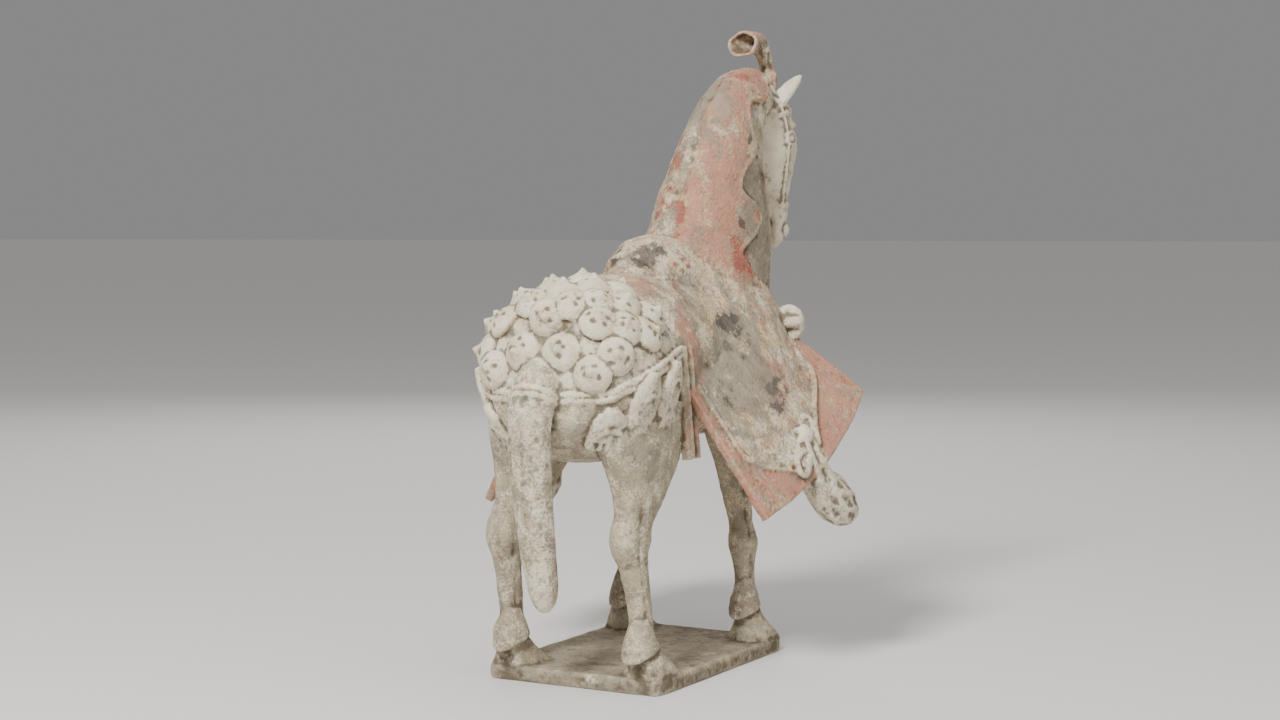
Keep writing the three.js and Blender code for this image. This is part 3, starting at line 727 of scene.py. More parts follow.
@dataclass
class Saddlery:
    """The saddle under its cloth, the flared mudguards, and the bags, knots, tassels and skirts.

    Attributes:
        pleat: How far the pleats stand, in millimetres.
        knot: Half the knot's width.
    """

    pleat: float = 0.42
    knot: float = 7.5
    cloth: Limb = field(default_factory=lambda: limb([
        [0, -44, 177, 50, 48], [0, -38, 179, 53, 52], [0, -10, 180, 53, 53], [0, 40, 181, 54, 53]]))
    seat: Limb = field(default_factory=lambda: limb([
        [0, 0.5, 196, 12, 36], [0, 2, 200, 19, 42], [0, 6, 203, 26, 46], [0, 12, 206, 32, 49.5],
        [0, 24, 203, 40, 53], [0, 45, 196, 50, 58], [0, 72, 188, 57, 60], [0, 92, 187, 55, 54],
        [0, 97, 187, 48, 47]]))

    def saddle(self) -> list[Form]:
        """The low cloth behind, and the steep cantle that widens to the pommel."""
        return [Form(Region.CLOTH, self.cloth.shell(120, 60)),
                Form(Region.CLOTH, self.seat.shell(120, 80))]

    def drape(self, side: int) -> Form:
        """The cloth where it falls from the saddle onto the mudguard, in one sweep."""

        def point_at(a: np.ndarray, b: np.ndarray) -> np.ndarray:
            """A curve from the seat's flank to the bag's hem for each share a."""
            share, angle = 0.34 + 0.56 * a, np.radians(-90 - side * (46 + 6 * a))
            inside = 1 - np.sqrt(np.sin(np.pi * np.clip(a, 0.0, 1.0)))
            top = self.seat.point(share, angle, -1.6 - 3.0 * inside)
            fall = unit(self.seat.point(share, angle - side * 0.05) - self.seat.point(share, angle))
            low_rear, low_front = self.bag_edges(0.86 + 0 * a)
            mid_rear, mid_front = self.bag_edges(0.42 + 0 * a)
            inner = 0.04 + 0.92 * a
            low = self.flap_at(side, low_rear + (low_front - low_rear) * inner, 0.86 + 0 * a)
            middle = self.flap_at(side, mid_rear + (mid_front - mid_rear) * inner, 0.42 + 0 * a)
            out = self.outward(side, 0.5, 0.5)
            low = low + out * (FLAP_THICK / 2 + 2.0)
            middle = middle + out * (FLAP_THICK / 2 + 5.0 - 3.0 * inside[..., None])
            reach = np.linalg.norm(middle - top, axis=-1, keepdims=True)
            b = b[..., None]
            return (top * (1 - b) ** 3 + 3 * (top + fall * reach * 0.45) * (1 - b) ** 2 * b
                    + 3 * middle * (1 - b) * b**2 + low * b**3)

        return Form(Region.BAG, sheet(point_at, 100, 90, lambda a, b: side * 2.5 + 0 * a,
                                      lambda a, b: -side * 0.8 + 0 * a))

    def gathers(self) -> list["Gather"]:
        """The two knots that the cloth's folds run to."""
        made = []
        for side in (RIGHT, LEFT):
            middle = self.flap_at(side, KNOT_A, KNOT_B)
            ahead = unit(self.flap_at(side, KNOT_A + 0.05, KNOT_B) - middle)
            up = unit(middle - self.flap_at(side, KNOT_A, KNOT_B + 0.05))
            made.append(Gather(side, middle, ahead, up, self.pleat))
        return made

    @staticmethod
    def flap_at(side: int, a: np.ndarray, b: np.ndarray) -> np.ndarray:
        """A mudguard's surface: a from rear to front, b from its root to its hem."""
        a, b = (np.asarray(v, float)[..., None] for v in (a, b))
        root = at(side * 45, -40, 176) * (1 - a) + at(side * 42, 100, 200) * a
        hem = at(side * 96.5, -23, 88.5) * (1 - a) + at(side * 104, 103, 156) * a
        return root * (1 - b) + hem * b + unit(hem - root) * (4 * HEM_BOW * a * (1 - a) * b * b)

    def outward(self, side: int, a: float, b: float) -> np.ndarray:
        """The direction that a mudguard's upper face looks."""
        here = self.flap_at(side, a, b)
        along_a = self.flap_at(side, a + 0.02, b) - here
        return unit(np.cross(along_a, self.flap_at(side, a, b + 0.02) - here)) * -side

    @staticmethod
    def bag_edges(b: np.ndarray) -> tuple[np.ndarray, np.ndarray]:
        """The bag's rear and front edge at shares of the mudguard."""
        rear = 0.07 + (KNOT_A - 0.17) * ease(b, 0.55, 1.0) ** 1.5
        return rear, 0.94 - 0.1 * ease(b, 0.0, 0.5) - (0.78 - KNOT_A) * ease(b, 0.5, 0.92)

    def bag(self, side: int) -> list[Form]:
        """The cloth's padded bag over a mudguard, with a corded edge."""
        reach = 0.9

        def point_at(a: np.ndarray, b: np.ndarray) -> np.ndarray:
            """The mudguard's surface under the bag."""
            rear, front = self.bag_edges(b * reach)
            return self.flap_at(side, rear + (front - rear) * a, b * reach)

        def swell(a: np.ndarray, b: np.ndarray) -> np.ndarray:
            """How far the bag stands off the mudguard."""
            rounded = np.sqrt(np.maximum(np.sin(np.pi * a), 0.02)) * (1 - 0.7 * b**8)
            return -side * (FLAP_THICK / 2 + CLOTH_THICK * rounded)

        made = [Form(Region.BAG, sheet(point_at, 110, 80, lambda a, b: 0 * a, swell))]
        share = np.linspace(0.12, 0.9, 26)
        for edge, a, wide, deep in ((0, 0.2, 1.7, 1.0), (1, 0.7, 3.6, 2.0)):
            line = self.flap_at(side, self.bag_edges(share)[edge], share)
            raised = line + self.outward(side, a, 0.6) * (FLAP_THICK / 2 + 0.4)
            made.append(Form(Region.BAG, tube(raised, wide, deep, self.outward(side, a, 0.6))))
        return made

    def tied(self, side: int) -> list[Form]:
        """The knot, its ribbon loops and the netted tassel."""
        half = self.knot
        middle = self.flap_at(side, KNOT_A, KNOT_B)
        out = self.outward(side, KNOT_A, KNOT_B)
        place = middle + out * (FLAP_THICK / 2 + half * 0.5)
        rows = np.array([[0, 0, 0, 0.7, 0.6], [2, 3, -14, 1.1, 1.0], [5, 10, -28, 1.7, 1.3],
                         [9, 22, -39, 2.1, 1.5], [12, 34, -46, 1.8, 1.2], [14, 44, -50, 0.7, 0.5]])
        places = place + np.stack([-side * rows[:, 0], -rows[:, 1], rows[:, 2]], -1)
        swing = Limb(places, rows[:, 3:5] * half, np.cross(out, (0, -0.7, -0.7)))

        def netted(t: np.ndarray, angle: np.ndarray) -> np.ndarray:
            """Folds by the knot, then a net of cord."""
            cords = np.abs(np.sin(4 * angle + 10 * t)) * np.abs(np.sin(4 * angle - 10 * t))
            net = 1.0 - 1.8 * np.sqrt(cords)
            return 1.2 * np.cos(5 * angle) * (1 - ease(t, 0.3, 0.5)) + 1.0 * net * ease(t, 0.4, 0.55)

        made = [lump(place, half * 0.95, half, half * 0.8, out, 5, 0.3), swing.shell(90, 90, netted)]
        along = unit(self.flap_at(side, KNOT_A + 0.05, KNOT_B) - middle)
        down = unit(self.flap_at(side, KNOT_A, KNOT_B + 0.05) - middle)
        turn = np.linspace(0.0, 2 * np.pi, 15)[:, None]
        for way, drop, long in ((-1, 0.15, 9), (-1, 0.8, 13), (1, -0.3, 7)):
            lean = unit(along * way + down * drop)
            flat = np.cross(out, lean)
            loop = middle + out * 4.5 + lean * (long + 3 - long * np.cos(turn)) + flat * 4.6 * np.sin(turn)
            made.append(tube(loop, 1.8, 2.2, out))
        return [Form(Region.KNOT, shell) for shell in made]

    def underskirt(self, side: int) -> Form:
        """The pleated skirt between the mudguard and the thigh."""
        half = FLAP_THICK / 2

        def point_at(a: np.ndarray, b: np.ndarray) -> np.ndarray:
            """The skirt's surface."""
            return at(side * (50 + 6 * b), -44 + 14 * a, 190 - 66 * b)

        def pleat(a: np.ndarray) -> np.ndarray:
            """The skirt's pleats."""
            return 1.2 * np.cos(4 * np.pi * a)

        return Form(Region.SKIRT, sheet(point_at, 30, 60, lambda a, b: pleat(a) - half,
                                        lambda a, b: pleat(a) + half))

    def forms(self) -> list[Form]:
        """All the saddlery."""
        made = self.saddle()
        for side in (RIGHT, LEFT):
            board = sheet(lambda a, b, s=side: self.flap_at(s, a, b), 90, 70,
                          lambda a, b: 0 * a - FLAP_THICK / 2, lambda a, b: 0 * a + FLAP_THICK / 2)
            made.append(Form(Region.FLAP, board))
            made += self.bag(side) + self.tied(side) + [self.drape(side), self.underskirt(side)]
        return made


@dataclass
class Gather:
    """A knot that the folds of a cloth run to.

    Attributes:
        side: The side of the horse that it is on.
        middle: Its place.
        ahead: The direction forward along the cloth.
        up: The direction up the cloth.
        depth: How deep the folds are, in millimetres.
    """

    side: int
    middle: np.ndarray
    ahead: np.ndarray
    up: np.ndarray
    depth: float

    def wave(self, points: np.ndarray) -> np.ndarray:
        """The folds at points: -1 in a valley, 1 on a ridge, and 0 off this side."""
        offset = points - self.middle
        forward, high = offset @ self.ahead, offset @ self.up
        away = np.hypot(forward, high)
        drift = NOISE.sample(points, 34.0)
        turn = np.arctan2(forward, high) + 0.10 * drift
        fine = folds(26 * turn + 2.0 * drift) * 0.65 + folds(61 * turn + 5.0 * drift) * 0.35
        return fine * ease(away, 6.0, 22.0) * (points[:, 0] * self.side < -8)


@dataclass
class Harness:
    """Bosses over the rump, crupper straps with lobed tassels, and the breast strap's pendants.

    Attributes:
        trunk: The barrel that they lie on.
        boss: Half a boss's width.
        dome: Its height.
        rows: How far ahead each row of bosses lies, with its places in degrees from the top.
        tassels: How far ahead, degrees from the top, and length.
    """

    trunk: Limb
    boss: float = 11.4
    dome: float = 6.8
    rows: Sequence[tuple[float, Sequence[float]]] = (
        (-64, (0, 25, 50)), (-80, (13, 37, 61)), (-94, (0, 27, 54)), (-105, (16, 44, 72)),
        (-113, (0, 86)), (-116.8, (45,)))
    tassels: Sequence[tuple[float, float, float]] = ((-101, 130, 28), (-87, 113, 50), (-65, 105, 46))

    def one_boss(self, place: np.ndarray, out: np.ndarray, rng: np.random.Generator) -> Shell:
        """A domed boss with an undercut rim, a knob off its middle and a few uneven pits."""
        side = unit(np.cross(out, (0.3, 0.2, 1.0)))
        over = np.cross(out, side)
        angle = np.linspace(0.0, 2 * np.pi, 56, endpoint=False)
        rings = [(0.55 * self.boss, -9.0), (0.84 * self.boss, -1.6), (0.97 * self.boss, -0.2)]
        shares = np.linspace(0.995, 0.04, 32)
        rings += [(self.boss * s, None) for s in shares]
        turns = rng.uniform(0, 2) + np.cumsum(rng.uniform(1.0, 1.75, rng.integers(3, 6)))
        pits = [(rng.uniform(0.3, 0.6) * self.boss, where, rng.uniform(0.9, 2.2), rng.uniform(0.9, 1.5))
                for where in turns]
        knob_x, knob_y = rng.uniform(-1.6, 1.6, 2)
        made = []
        for radius, height in rings:
            x, y = radius * np.cos(angle), radius * np.sin(angle)
            if height is None:
                share = radius / self.boss
                rise = 0.4 + self.dome * (1 - share**2.1) ** 0.7
                rise = rise + 3.1 * np.exp(-(np.hypot(x - knob_x, y - knob_y) / 2.3) ** 2)
                for away, where, deep, wide in pits:
                    gap = np.hypot(x - away * math.cos(where), y - away * math.sin(where))
                    rise = rise - deep * np.exp(-((gap / wide) ** 2))
            else:
                rise = np.full_like(x, height)
            made.append(place + x[:, None] * side + y[:, None] * over + rise[:, None] * out)
        return skin(np.array(made))

    def bosses(self) -> list[Form]:
        """The staggered rows of bosses, each set down a little askew."""
        rng = np.random.default_rng(SEED)
        made = []
        for ahead, degrees in self.rows:
            t = self.trunk.share_ahead(ahead)
            for angle in [d * s for d in degrees for s in ((1, -1) if d else (1,))]:
                spot = math.radians(-90 - angle)
                tilt = rng.uniform(-0.12, 0.12, 3)
                out = unit(self.trunk.normal(t, spot) + tilt)
                place = self.trunk.point(t, spot) + unit(tilt) * 0.5
                made.append(Form(Region.BOSS, self.one_boss(place, out, rng)))
        return made

    def tassel(self, side: int, ahead: float, degrees: float, long: float) -> Form:
        """A lobed tassel that ends in fingers."""
        t = self.trunk.share_ahead(ahead)
        angle = math.radians(-90 - side * degrees)
        place, out = self.trunk.point(t, angle), self.trunk.normal(t, angle)
        down = unit(np.array([0, 0, -1.0]) + out * out[2])
        half = 11.5
        rows = np.array([[-0.5, 0.3, 0.2], [-0.25, 0.85, 0.36], [0.42, 1.04, 0.42], [0.5, 0.9, 0.26]])
        shape = Limb(place + rows[:, :1] * long * down, rows[:, 1:] * half, np.cross(down, out))

        def cut(share: np.ndarray, turn: np.ndarray) -> np.ndarray:
            """Slots between the fingers, and a rib round the lobe above them."""
            x = np.cos(turn) * np.ones_like(share)
            start = 0.667 - 3.2 / long
            slots = sum(hump(x, spot, 0.1) for spot in (-0.6, -0.2, 0.2, 0.6))
            arch = hump(np.hypot(x, (share - start) * long / 5), 0.7, 0.11) * (share < start)
            upper = hump(np.hypot(x * 1.5, (share - start + 9 / long) * long / 7), 0.7, 0.12)
            return (-3.4 * slots * ease(share, start - 0.01, start + 0.03)
                    + 1.2 * arch + 0.8 * upper * (long > 40) * (share < start - 9 / long))

        return Form(Region.TASSEL, shape.shell(120, 80, cut))

    def strap(self, side: int) -> list[Form]:
        """The crupper strap of one side, laid as two cords."""
        rows = np.array([[0, -118, 164], [22, -115.5, 164], [38, -108.5, 165], [48.5, -97, 171],
                         [54.5, -80, 178], [53.5, -48, 188]])
        path = Limb(at(side * rows[:, 0], rows[:, 1], rows[:, 2]), np.ones((6, 2)))
        line = path.path(np.linspace(0.0, 1.0, 40))
        core = np.stack([0 * line[:, 0], np.minimum(line[:, 1], 85.0), np.full(40, 183.0)], -1)
        line += unit(line - core) * 1.5
        return [Form(Region.STRAP, tube(line + (0, 0, drop), 1.9, 1.9, (0.0, 0.0, 1.0)))
                for drop in (1.9, -1.9)]

    def forms(self) -> list[Form]:
        """All the harness."""
        made = self.bosses()
        for side in (RIGHT, LEFT):
            made += self.strap(side)
            made += [self.tassel(side, *row) for row in self.tassels]
        for degrees in (0, 33, -33, 62, -62):
            angle = math.radians(degrees)
            place = at(math.sin(angle) * 62, 71 + math.cos(angle) * 57, 194 + 6 * abs(math.sin(angle)))
            out = at(math.sin(angle), math.cos(angle), 0.1) - at(0, 0, 0)
            made.append(Form(Region.STRAP, lump(place, 12, 13, 10, out, 6, 0.34)))
        return made


# Coats


@dataclass(frozen=True)
class Coat:
    """How far each pigment covers a region before wear, from 0 to 1."""

    white: float = 0.0
    ochre: float = 0.0
    pink: float = 0.0
    red: float = 0.0
    grey: float = 0.0
    black: float = 0.0

    def row(self) -> list[float]:
        """The cover of each pigment, in the order in which they are laid."""
        return [self.white, self.ochre, self.pink, self.red, self.grey, self.black]


COATS = {
    Region.SLAB: Coat(white=0.30, ochre=0.26, grey=0.56),
    Region.TRUNK: Coat(white=0.50, ochre=0.32, pink=0.16, grey=0.38),
    Region.NECK: Coat(white=0.48, ochre=0.44, pink=0.36, red=0.10, grey=0.46),
    Region.MANE: Coat(white=0.42, ochre=0.50, pink=0.62, red=0.24, grey=0.36),
    Region.LEG: Coat(white=0.43, ochre=0.30, grey=0.42),
    Region.HOOF: Coat(white=0.40, ochre=0.28, pink=0.12, grey=0.38),
    Region.TAIL: Coat(white=0.54, ochre=0.25, grey=0.42),
    Region.HEAD: Coat(white=0.78, ochre=0.25, grey=0.24),
    Region.PLUME: Coat(white=0.46, ochre=0.30, pink=0.55, red=0.10, grey=0.40),
    Region.CLOTH: Coat(white=0.54, ochre=0.46, pink=0.40, grey=0.38),
    Region.FLAP: Coat(white=0.30, ochre=0.44, pink=0.64, red=0.28, grey=0.30),
    Region.BAG: Coat(white=0.52, ochre=0.46, pink=0.42, grey=0.42),
    Region.KNOT: Coat(white=0.70, ochre=0.30, grey=0.34),
    Region.SKIRT: Coat(white=0.38, ochre=0.36, pink=0.44, grey=0.38),
    Region.BOSS: Coat(white=0.84, ochre=0.38, grey=0.28),
    Region.STRAP: Coat(white=0.66, ochre=0.36, pink=0.20, grey=0.26),
    Region.TASSEL: Coat(white=0.68, ochre=0.32, grey=0.36),
}


@dataclass(frozen=True)
class Patch:
    """A mark of colour, placed as it is seen from the camera: mostly stains, and a painted shadow at the
    jaw.

    Attributes:
        pigment: What it is.
        spot: Its middle, in pixels of a frame 1280 wide and 720 high.
        reach: Its half width and half height, in those pixels.
        amount: How much cover it adds, or takes away where it is negative.
        regions: The forms that it lies on.
        tilt: How far its width leans, in degrees.
    """

    pigment: Pigment
    spot: tuple[float, float]
    reach: tuple[float, float]
    amount: float
    regions: tuple[Region, ...]
    tilt: float = 0.0


NECKS = (Region.NECK, Region.MANE)
CLOTHS = (Region.CLOTH, Region.BAG)

# The painted petals on the saddle cloth: place, reach and tilt
PETALS = (
    ((675, 265), (3.4, 2.4), 30), ((682, 260), (3.4, 2.4), -40), ((688, 266), (3.4, 2.4), 35),
    ((682, 271), (3.4, 2.4), -30), ((675, 286), (2.6, 3.6), -30), ((681, 292), (3.4, 2.6), 40),
    ((676, 298), (2.6, 3.6), -20), ((685, 301), (2.6, 3.6), -40),
)
PATCHES = (
    Patch(Pigment.PINK, (704, 98), (30, 32), 0.30, NECKS, 20),
    Patch(Pigment.GREY, (712, 112), (26, 40), 0.30, NECKS, 8),
    Patch(Pigment.RED, (735, 77), (24, 9), 0.34, NECKS),
    Patch(Pigment.RED, (671, 168), (11, 64), 0.38, NECKS, 22),
    Patch(Pigment.RED, (677, 212), (13, 16), 0.50, NECKS),
    Patch(Pigment.OCHRE, (682, 180), (13, 18), 0.60, NECKS, 10),
    Patch(Pigment.OCHRE, (702, 205), (18, 22), 0.45, NECKS),
    Patch(Pigment.PINK, (722, 190), (13, 48), 0.34, NECKS, -4),
    Patch(Pigment.WHITE, (724, 185), (9, 44), 0.24, NECKS, -4),
    Patch(Pigment.RED, (742, 255), (14, 24), 0.50, NECKS, -24),
    Patch(Pigment.PINK, (706, 238), (34, 12), 0.28, NECKS, 14),
    Patch(Pigment.GREY, (756, 220), (13, 70), 0.40, NECKS, -6),
    Patch(Pigment.PINK, (756, 140), (9, 26), -0.40, NECKS),
    Patch(Pigment.BLACK, (741, 222), (4, 8), 1.10, NECKS, -20),
    Patch(Pigment.BLACK, (748, 233), (4, 4), 1.00, NECKS, -20),
    Patch(Pigment.BLACK, (750, 140), (3, 8), 0.70, NECKS),
    Patch(Pigment.WHITE, (766, 105), (9, 34), 0.50, NECKS),
    # Painted shadow: dark red and black in the hollow behind the jaw, where it leaves the neck
    Patch(Pigment.RED, (766, 175), (7, 15), 0.80, (Region.NECK, Region.HEAD)),
    Patch(Pigment.BLACK, (764, 176), (5, 9), 0.60, (Region.NECK, Region.HEAD)),
    Patch(Pigment.BLACK, (648, 256), (22, 16), 0.95, CLOTHS, -10),
    Patch(Pigment.WHITE, (680, 256), (16, 22), 0.45, CLOTHS),
    *(Patch(Pigment.RED, spot, reach, 1.3, CLOTHS, tilt) for spot, reach, tilt in PETALS),
    Patch(Pigment.PINK, (640, 285), (26, 9), 0.34, CLOTHS, 20),
    Patch(Pigment.PINK, (690, 340), (9, 52), 0.36, CLOTHS, -18),
    Patch(Pigment.GREY, (690, 300), (14, 40), 0.24, CLOTHS, -20),
    Patch(Pigment.GREY, (738, 342), (26, 44), 0.40, CLOTHS, -14),
    Patch(Pigment.BLACK, (736, 334), (20, 36), 0.50, CLOTHS, -14),
    Patch(Pigment.BLACK, (724, 320), (12, 12), 0.62, CLOTHS),
    Patch(Pigment.BLACK, (778, 394), (14, 24), 0.66, CLOTHS, -10),
    Patch(Pigment.GREY, (720, 385), (26, 56), 0.20, CLOTHS, -30),
    Patch(Pigment.BLACK, (722, 392), (16, 30), 0.46, CLOTHS, -30),
    Patch(Pigment.GREY, (745, 385), (34, 44), 0.26, CLOTHS, -20),
    Patch(Pigment.OCHRE, (755, 340), (16, 24), 0.60, CLOTHS, -20),
    Patch(Pigment.OCHRE, (742, 408), (16, 20), 0.40, CLOTHS),
    Patch(Pigment.OCHRE, (704, 310), (12, 30), 0.40, CLOTHS, -30),
    Patch(Pigment.PINK, (768, 366), (18, 10), 0.55, CLOTHS),
    Patch(Pigment.RED, (752, 418), (20, 7), 0.40, CLOTHS, 38),
    Patch(Pigment.OCHRE, (842, 402), (18, 10), 0.30, (Region.FLAP,), 30),
    Patch(Pigment.OCHRE, (720, 470), (8, 50), 0.34, (Region.FLAP,), -35),
    Patch(Pigment.GREY, (800, 470), (16, 14), 0.20, (Region.FLAP, Region.KNOT)),
    Patch(Pigment.WHITE, (580, 318), (112, 78), 0.42, (Region.TRUNK,)),
    Patch(Pigment.PINK, (500, 392), (14, 9), 0.36, (Region.TRUNK,)),
    Patch(Pigment.RED, (566, 430), (18, 9), 0.34, (Region.TRUNK,), 20),
    Patch(Pigment.GREY, (570, 425), (24, 16), 0.24, (Region.TRUNK,)),
    Patch(Pigment.GREY, (640, 455), (26, 22), 0.20, (Region.TRUNK, Region.LEG)),
    Patch(Pigment.WHITE, (540, 585), (12, 34), 0.34, (Region.TAIL,)),
    Patch(Pigment.PINK, (526, 385), (10, 16), 0.36, (Region.TAIL,)),
    Patch(Pigment.WHITE, (530, 400), (16, 6), 0.60, (Region.TAIL, Region.STRAP)),
    Patch(Pigment.PINK, (505, 684), (24, 9), 0.60, (Region.SLAB,)),
    Patch(Pigment.WHITE, (592, 679), (7, 5), 0.90, (Region.SLAB,)),
    Patch(Pigment.OCHRE, (720, 662), (60, 14), 0.30, (Region.SLAB,)),
)


@dataclass(frozen=True)
class Viewpoint:
    """The camera's place and lens.

    Attributes:
        place: Where it stands, in metres.
        heading: Its level direction.
        pitch: How far it looks down, in degrees.
        lens: Its lens, in millimetres.
        sensor: Its sensor's width, in millimetres.
        image: The image's width and height.
    """

    place: tuple[float, float, float] = (-0.655, 1.177, 0.266)
    heading: tuple[float, float] = (0.4863, -0.8738)
    pitch: float = 3.33
    lens: float = 61.9
    sensor: float = 36.0
    image: tuple[int, int] = (1280, 720)

    def axes(self) -> tuple[np.ndarray, np.ndarray, np.ndarray]:
        """The directions to the right, up and into the picture."""
        slope = math.radians(self.pitch)
        into = np.array([self.heading[0] * math.cos(slope), self.heading[1] * math.cos(slope),
                         -math.sin(slope)])
        right = unit(np.cross(into, (0.0, 0.0, 1.0)))
        return right, np.cross(right, into), into

    def pixels(self, points: np.ndarray) -> np.ndarray:
        """Where points in millimetres lie in the image."""
        right, up, into = self.axes()
        away = points * MM - np.array(self.place)
        scale = self.image[0] * self.lens / self.sensor / (away @ into)
        x = self.image[0] / 2 + scale * (away @ right)
        return np.stack([x, self.image[1] / 2 - scale * (away @ up)], -1)


VIEW = Viewpoint()


class Coating:
    """Works out the cover of each pigment at each corner of the clay."""

    def __init__(self, verts: np.ndarray, normals: np.ndarray, regions: np.ndarray,
                 wave: np.ndarray) -> None:
        """Keeps the clay's corners, in millimetres, their normals, their regions and the cloth's folds."""
        self.verts, self.normals, self.regions, self.wave = verts, normals, regions, wave

    def seen(self, mirrored: bool) -> tuple[np.ndarray, np.ndarray]:
        """Pixels of the corners, or of their mirror images, and how far they face the camera."""
        flip = np.array([-1.0 if mirrored else 1.0, 1.0, 1.0])
        into = VIEW.axes()[2]
        return VIEW.pixels(self.verts * flip), ease(-(self.normals * flip) @ into, -0.05, 0.25)

    def cover(self) -> np.ndarray:
        """The cover of the six pigments, one row for each corner."""
        cover = np.array([COATS[region].row() for region in Region])[self.regions]
        # Painted light on the cloth's folds: more white on the crests as a painted highlight, more grey and
        # black in the valleys as painted shade
        cover += 0.11 * self.wave[:, None] * np.array([1.0, 0.4, 0.3, 0.2, -1.0, -0.6])
        ragged = np.clip(0.8 + 0.9 * NOISE.sample(self.verts, 3.6), 0.0, 1.3)
        for mirrored, strength in ((False, 1.0), (True, 0.7)):
            pixels, facing = self.seen(mirrored)
            for patch in PATCHES:
                on = among(self.regions, patch.regions)
                lean = math.radians(patch.tilt)
                offset = pixels - np.array(patch.spot)
                x = offset[:, 0] * math.cos(lean) + offset[:, 1] * math.sin(lean)
                y = offset[:, 1] * math.cos(lean) - offset[:, 0] * math.sin(lean)
                near = 1 - ease(np.hypot(x / patch.reach[0], y / patch.reach[1]), 0.55, 1.15)
                cover[:, patch.pigment.value] += patch.amount * strength * near * facing * on * ragged
        return cover


# The fused clay


def placed(name: str, data: bpy.types.ID) -> bpy.types.Object:
    """An object of a mesh, light or camera, put in the scene."""
    made = bpy.data.objects.new(name, data)
    bpy.context.scene.collection.objects.link(made)
    return made


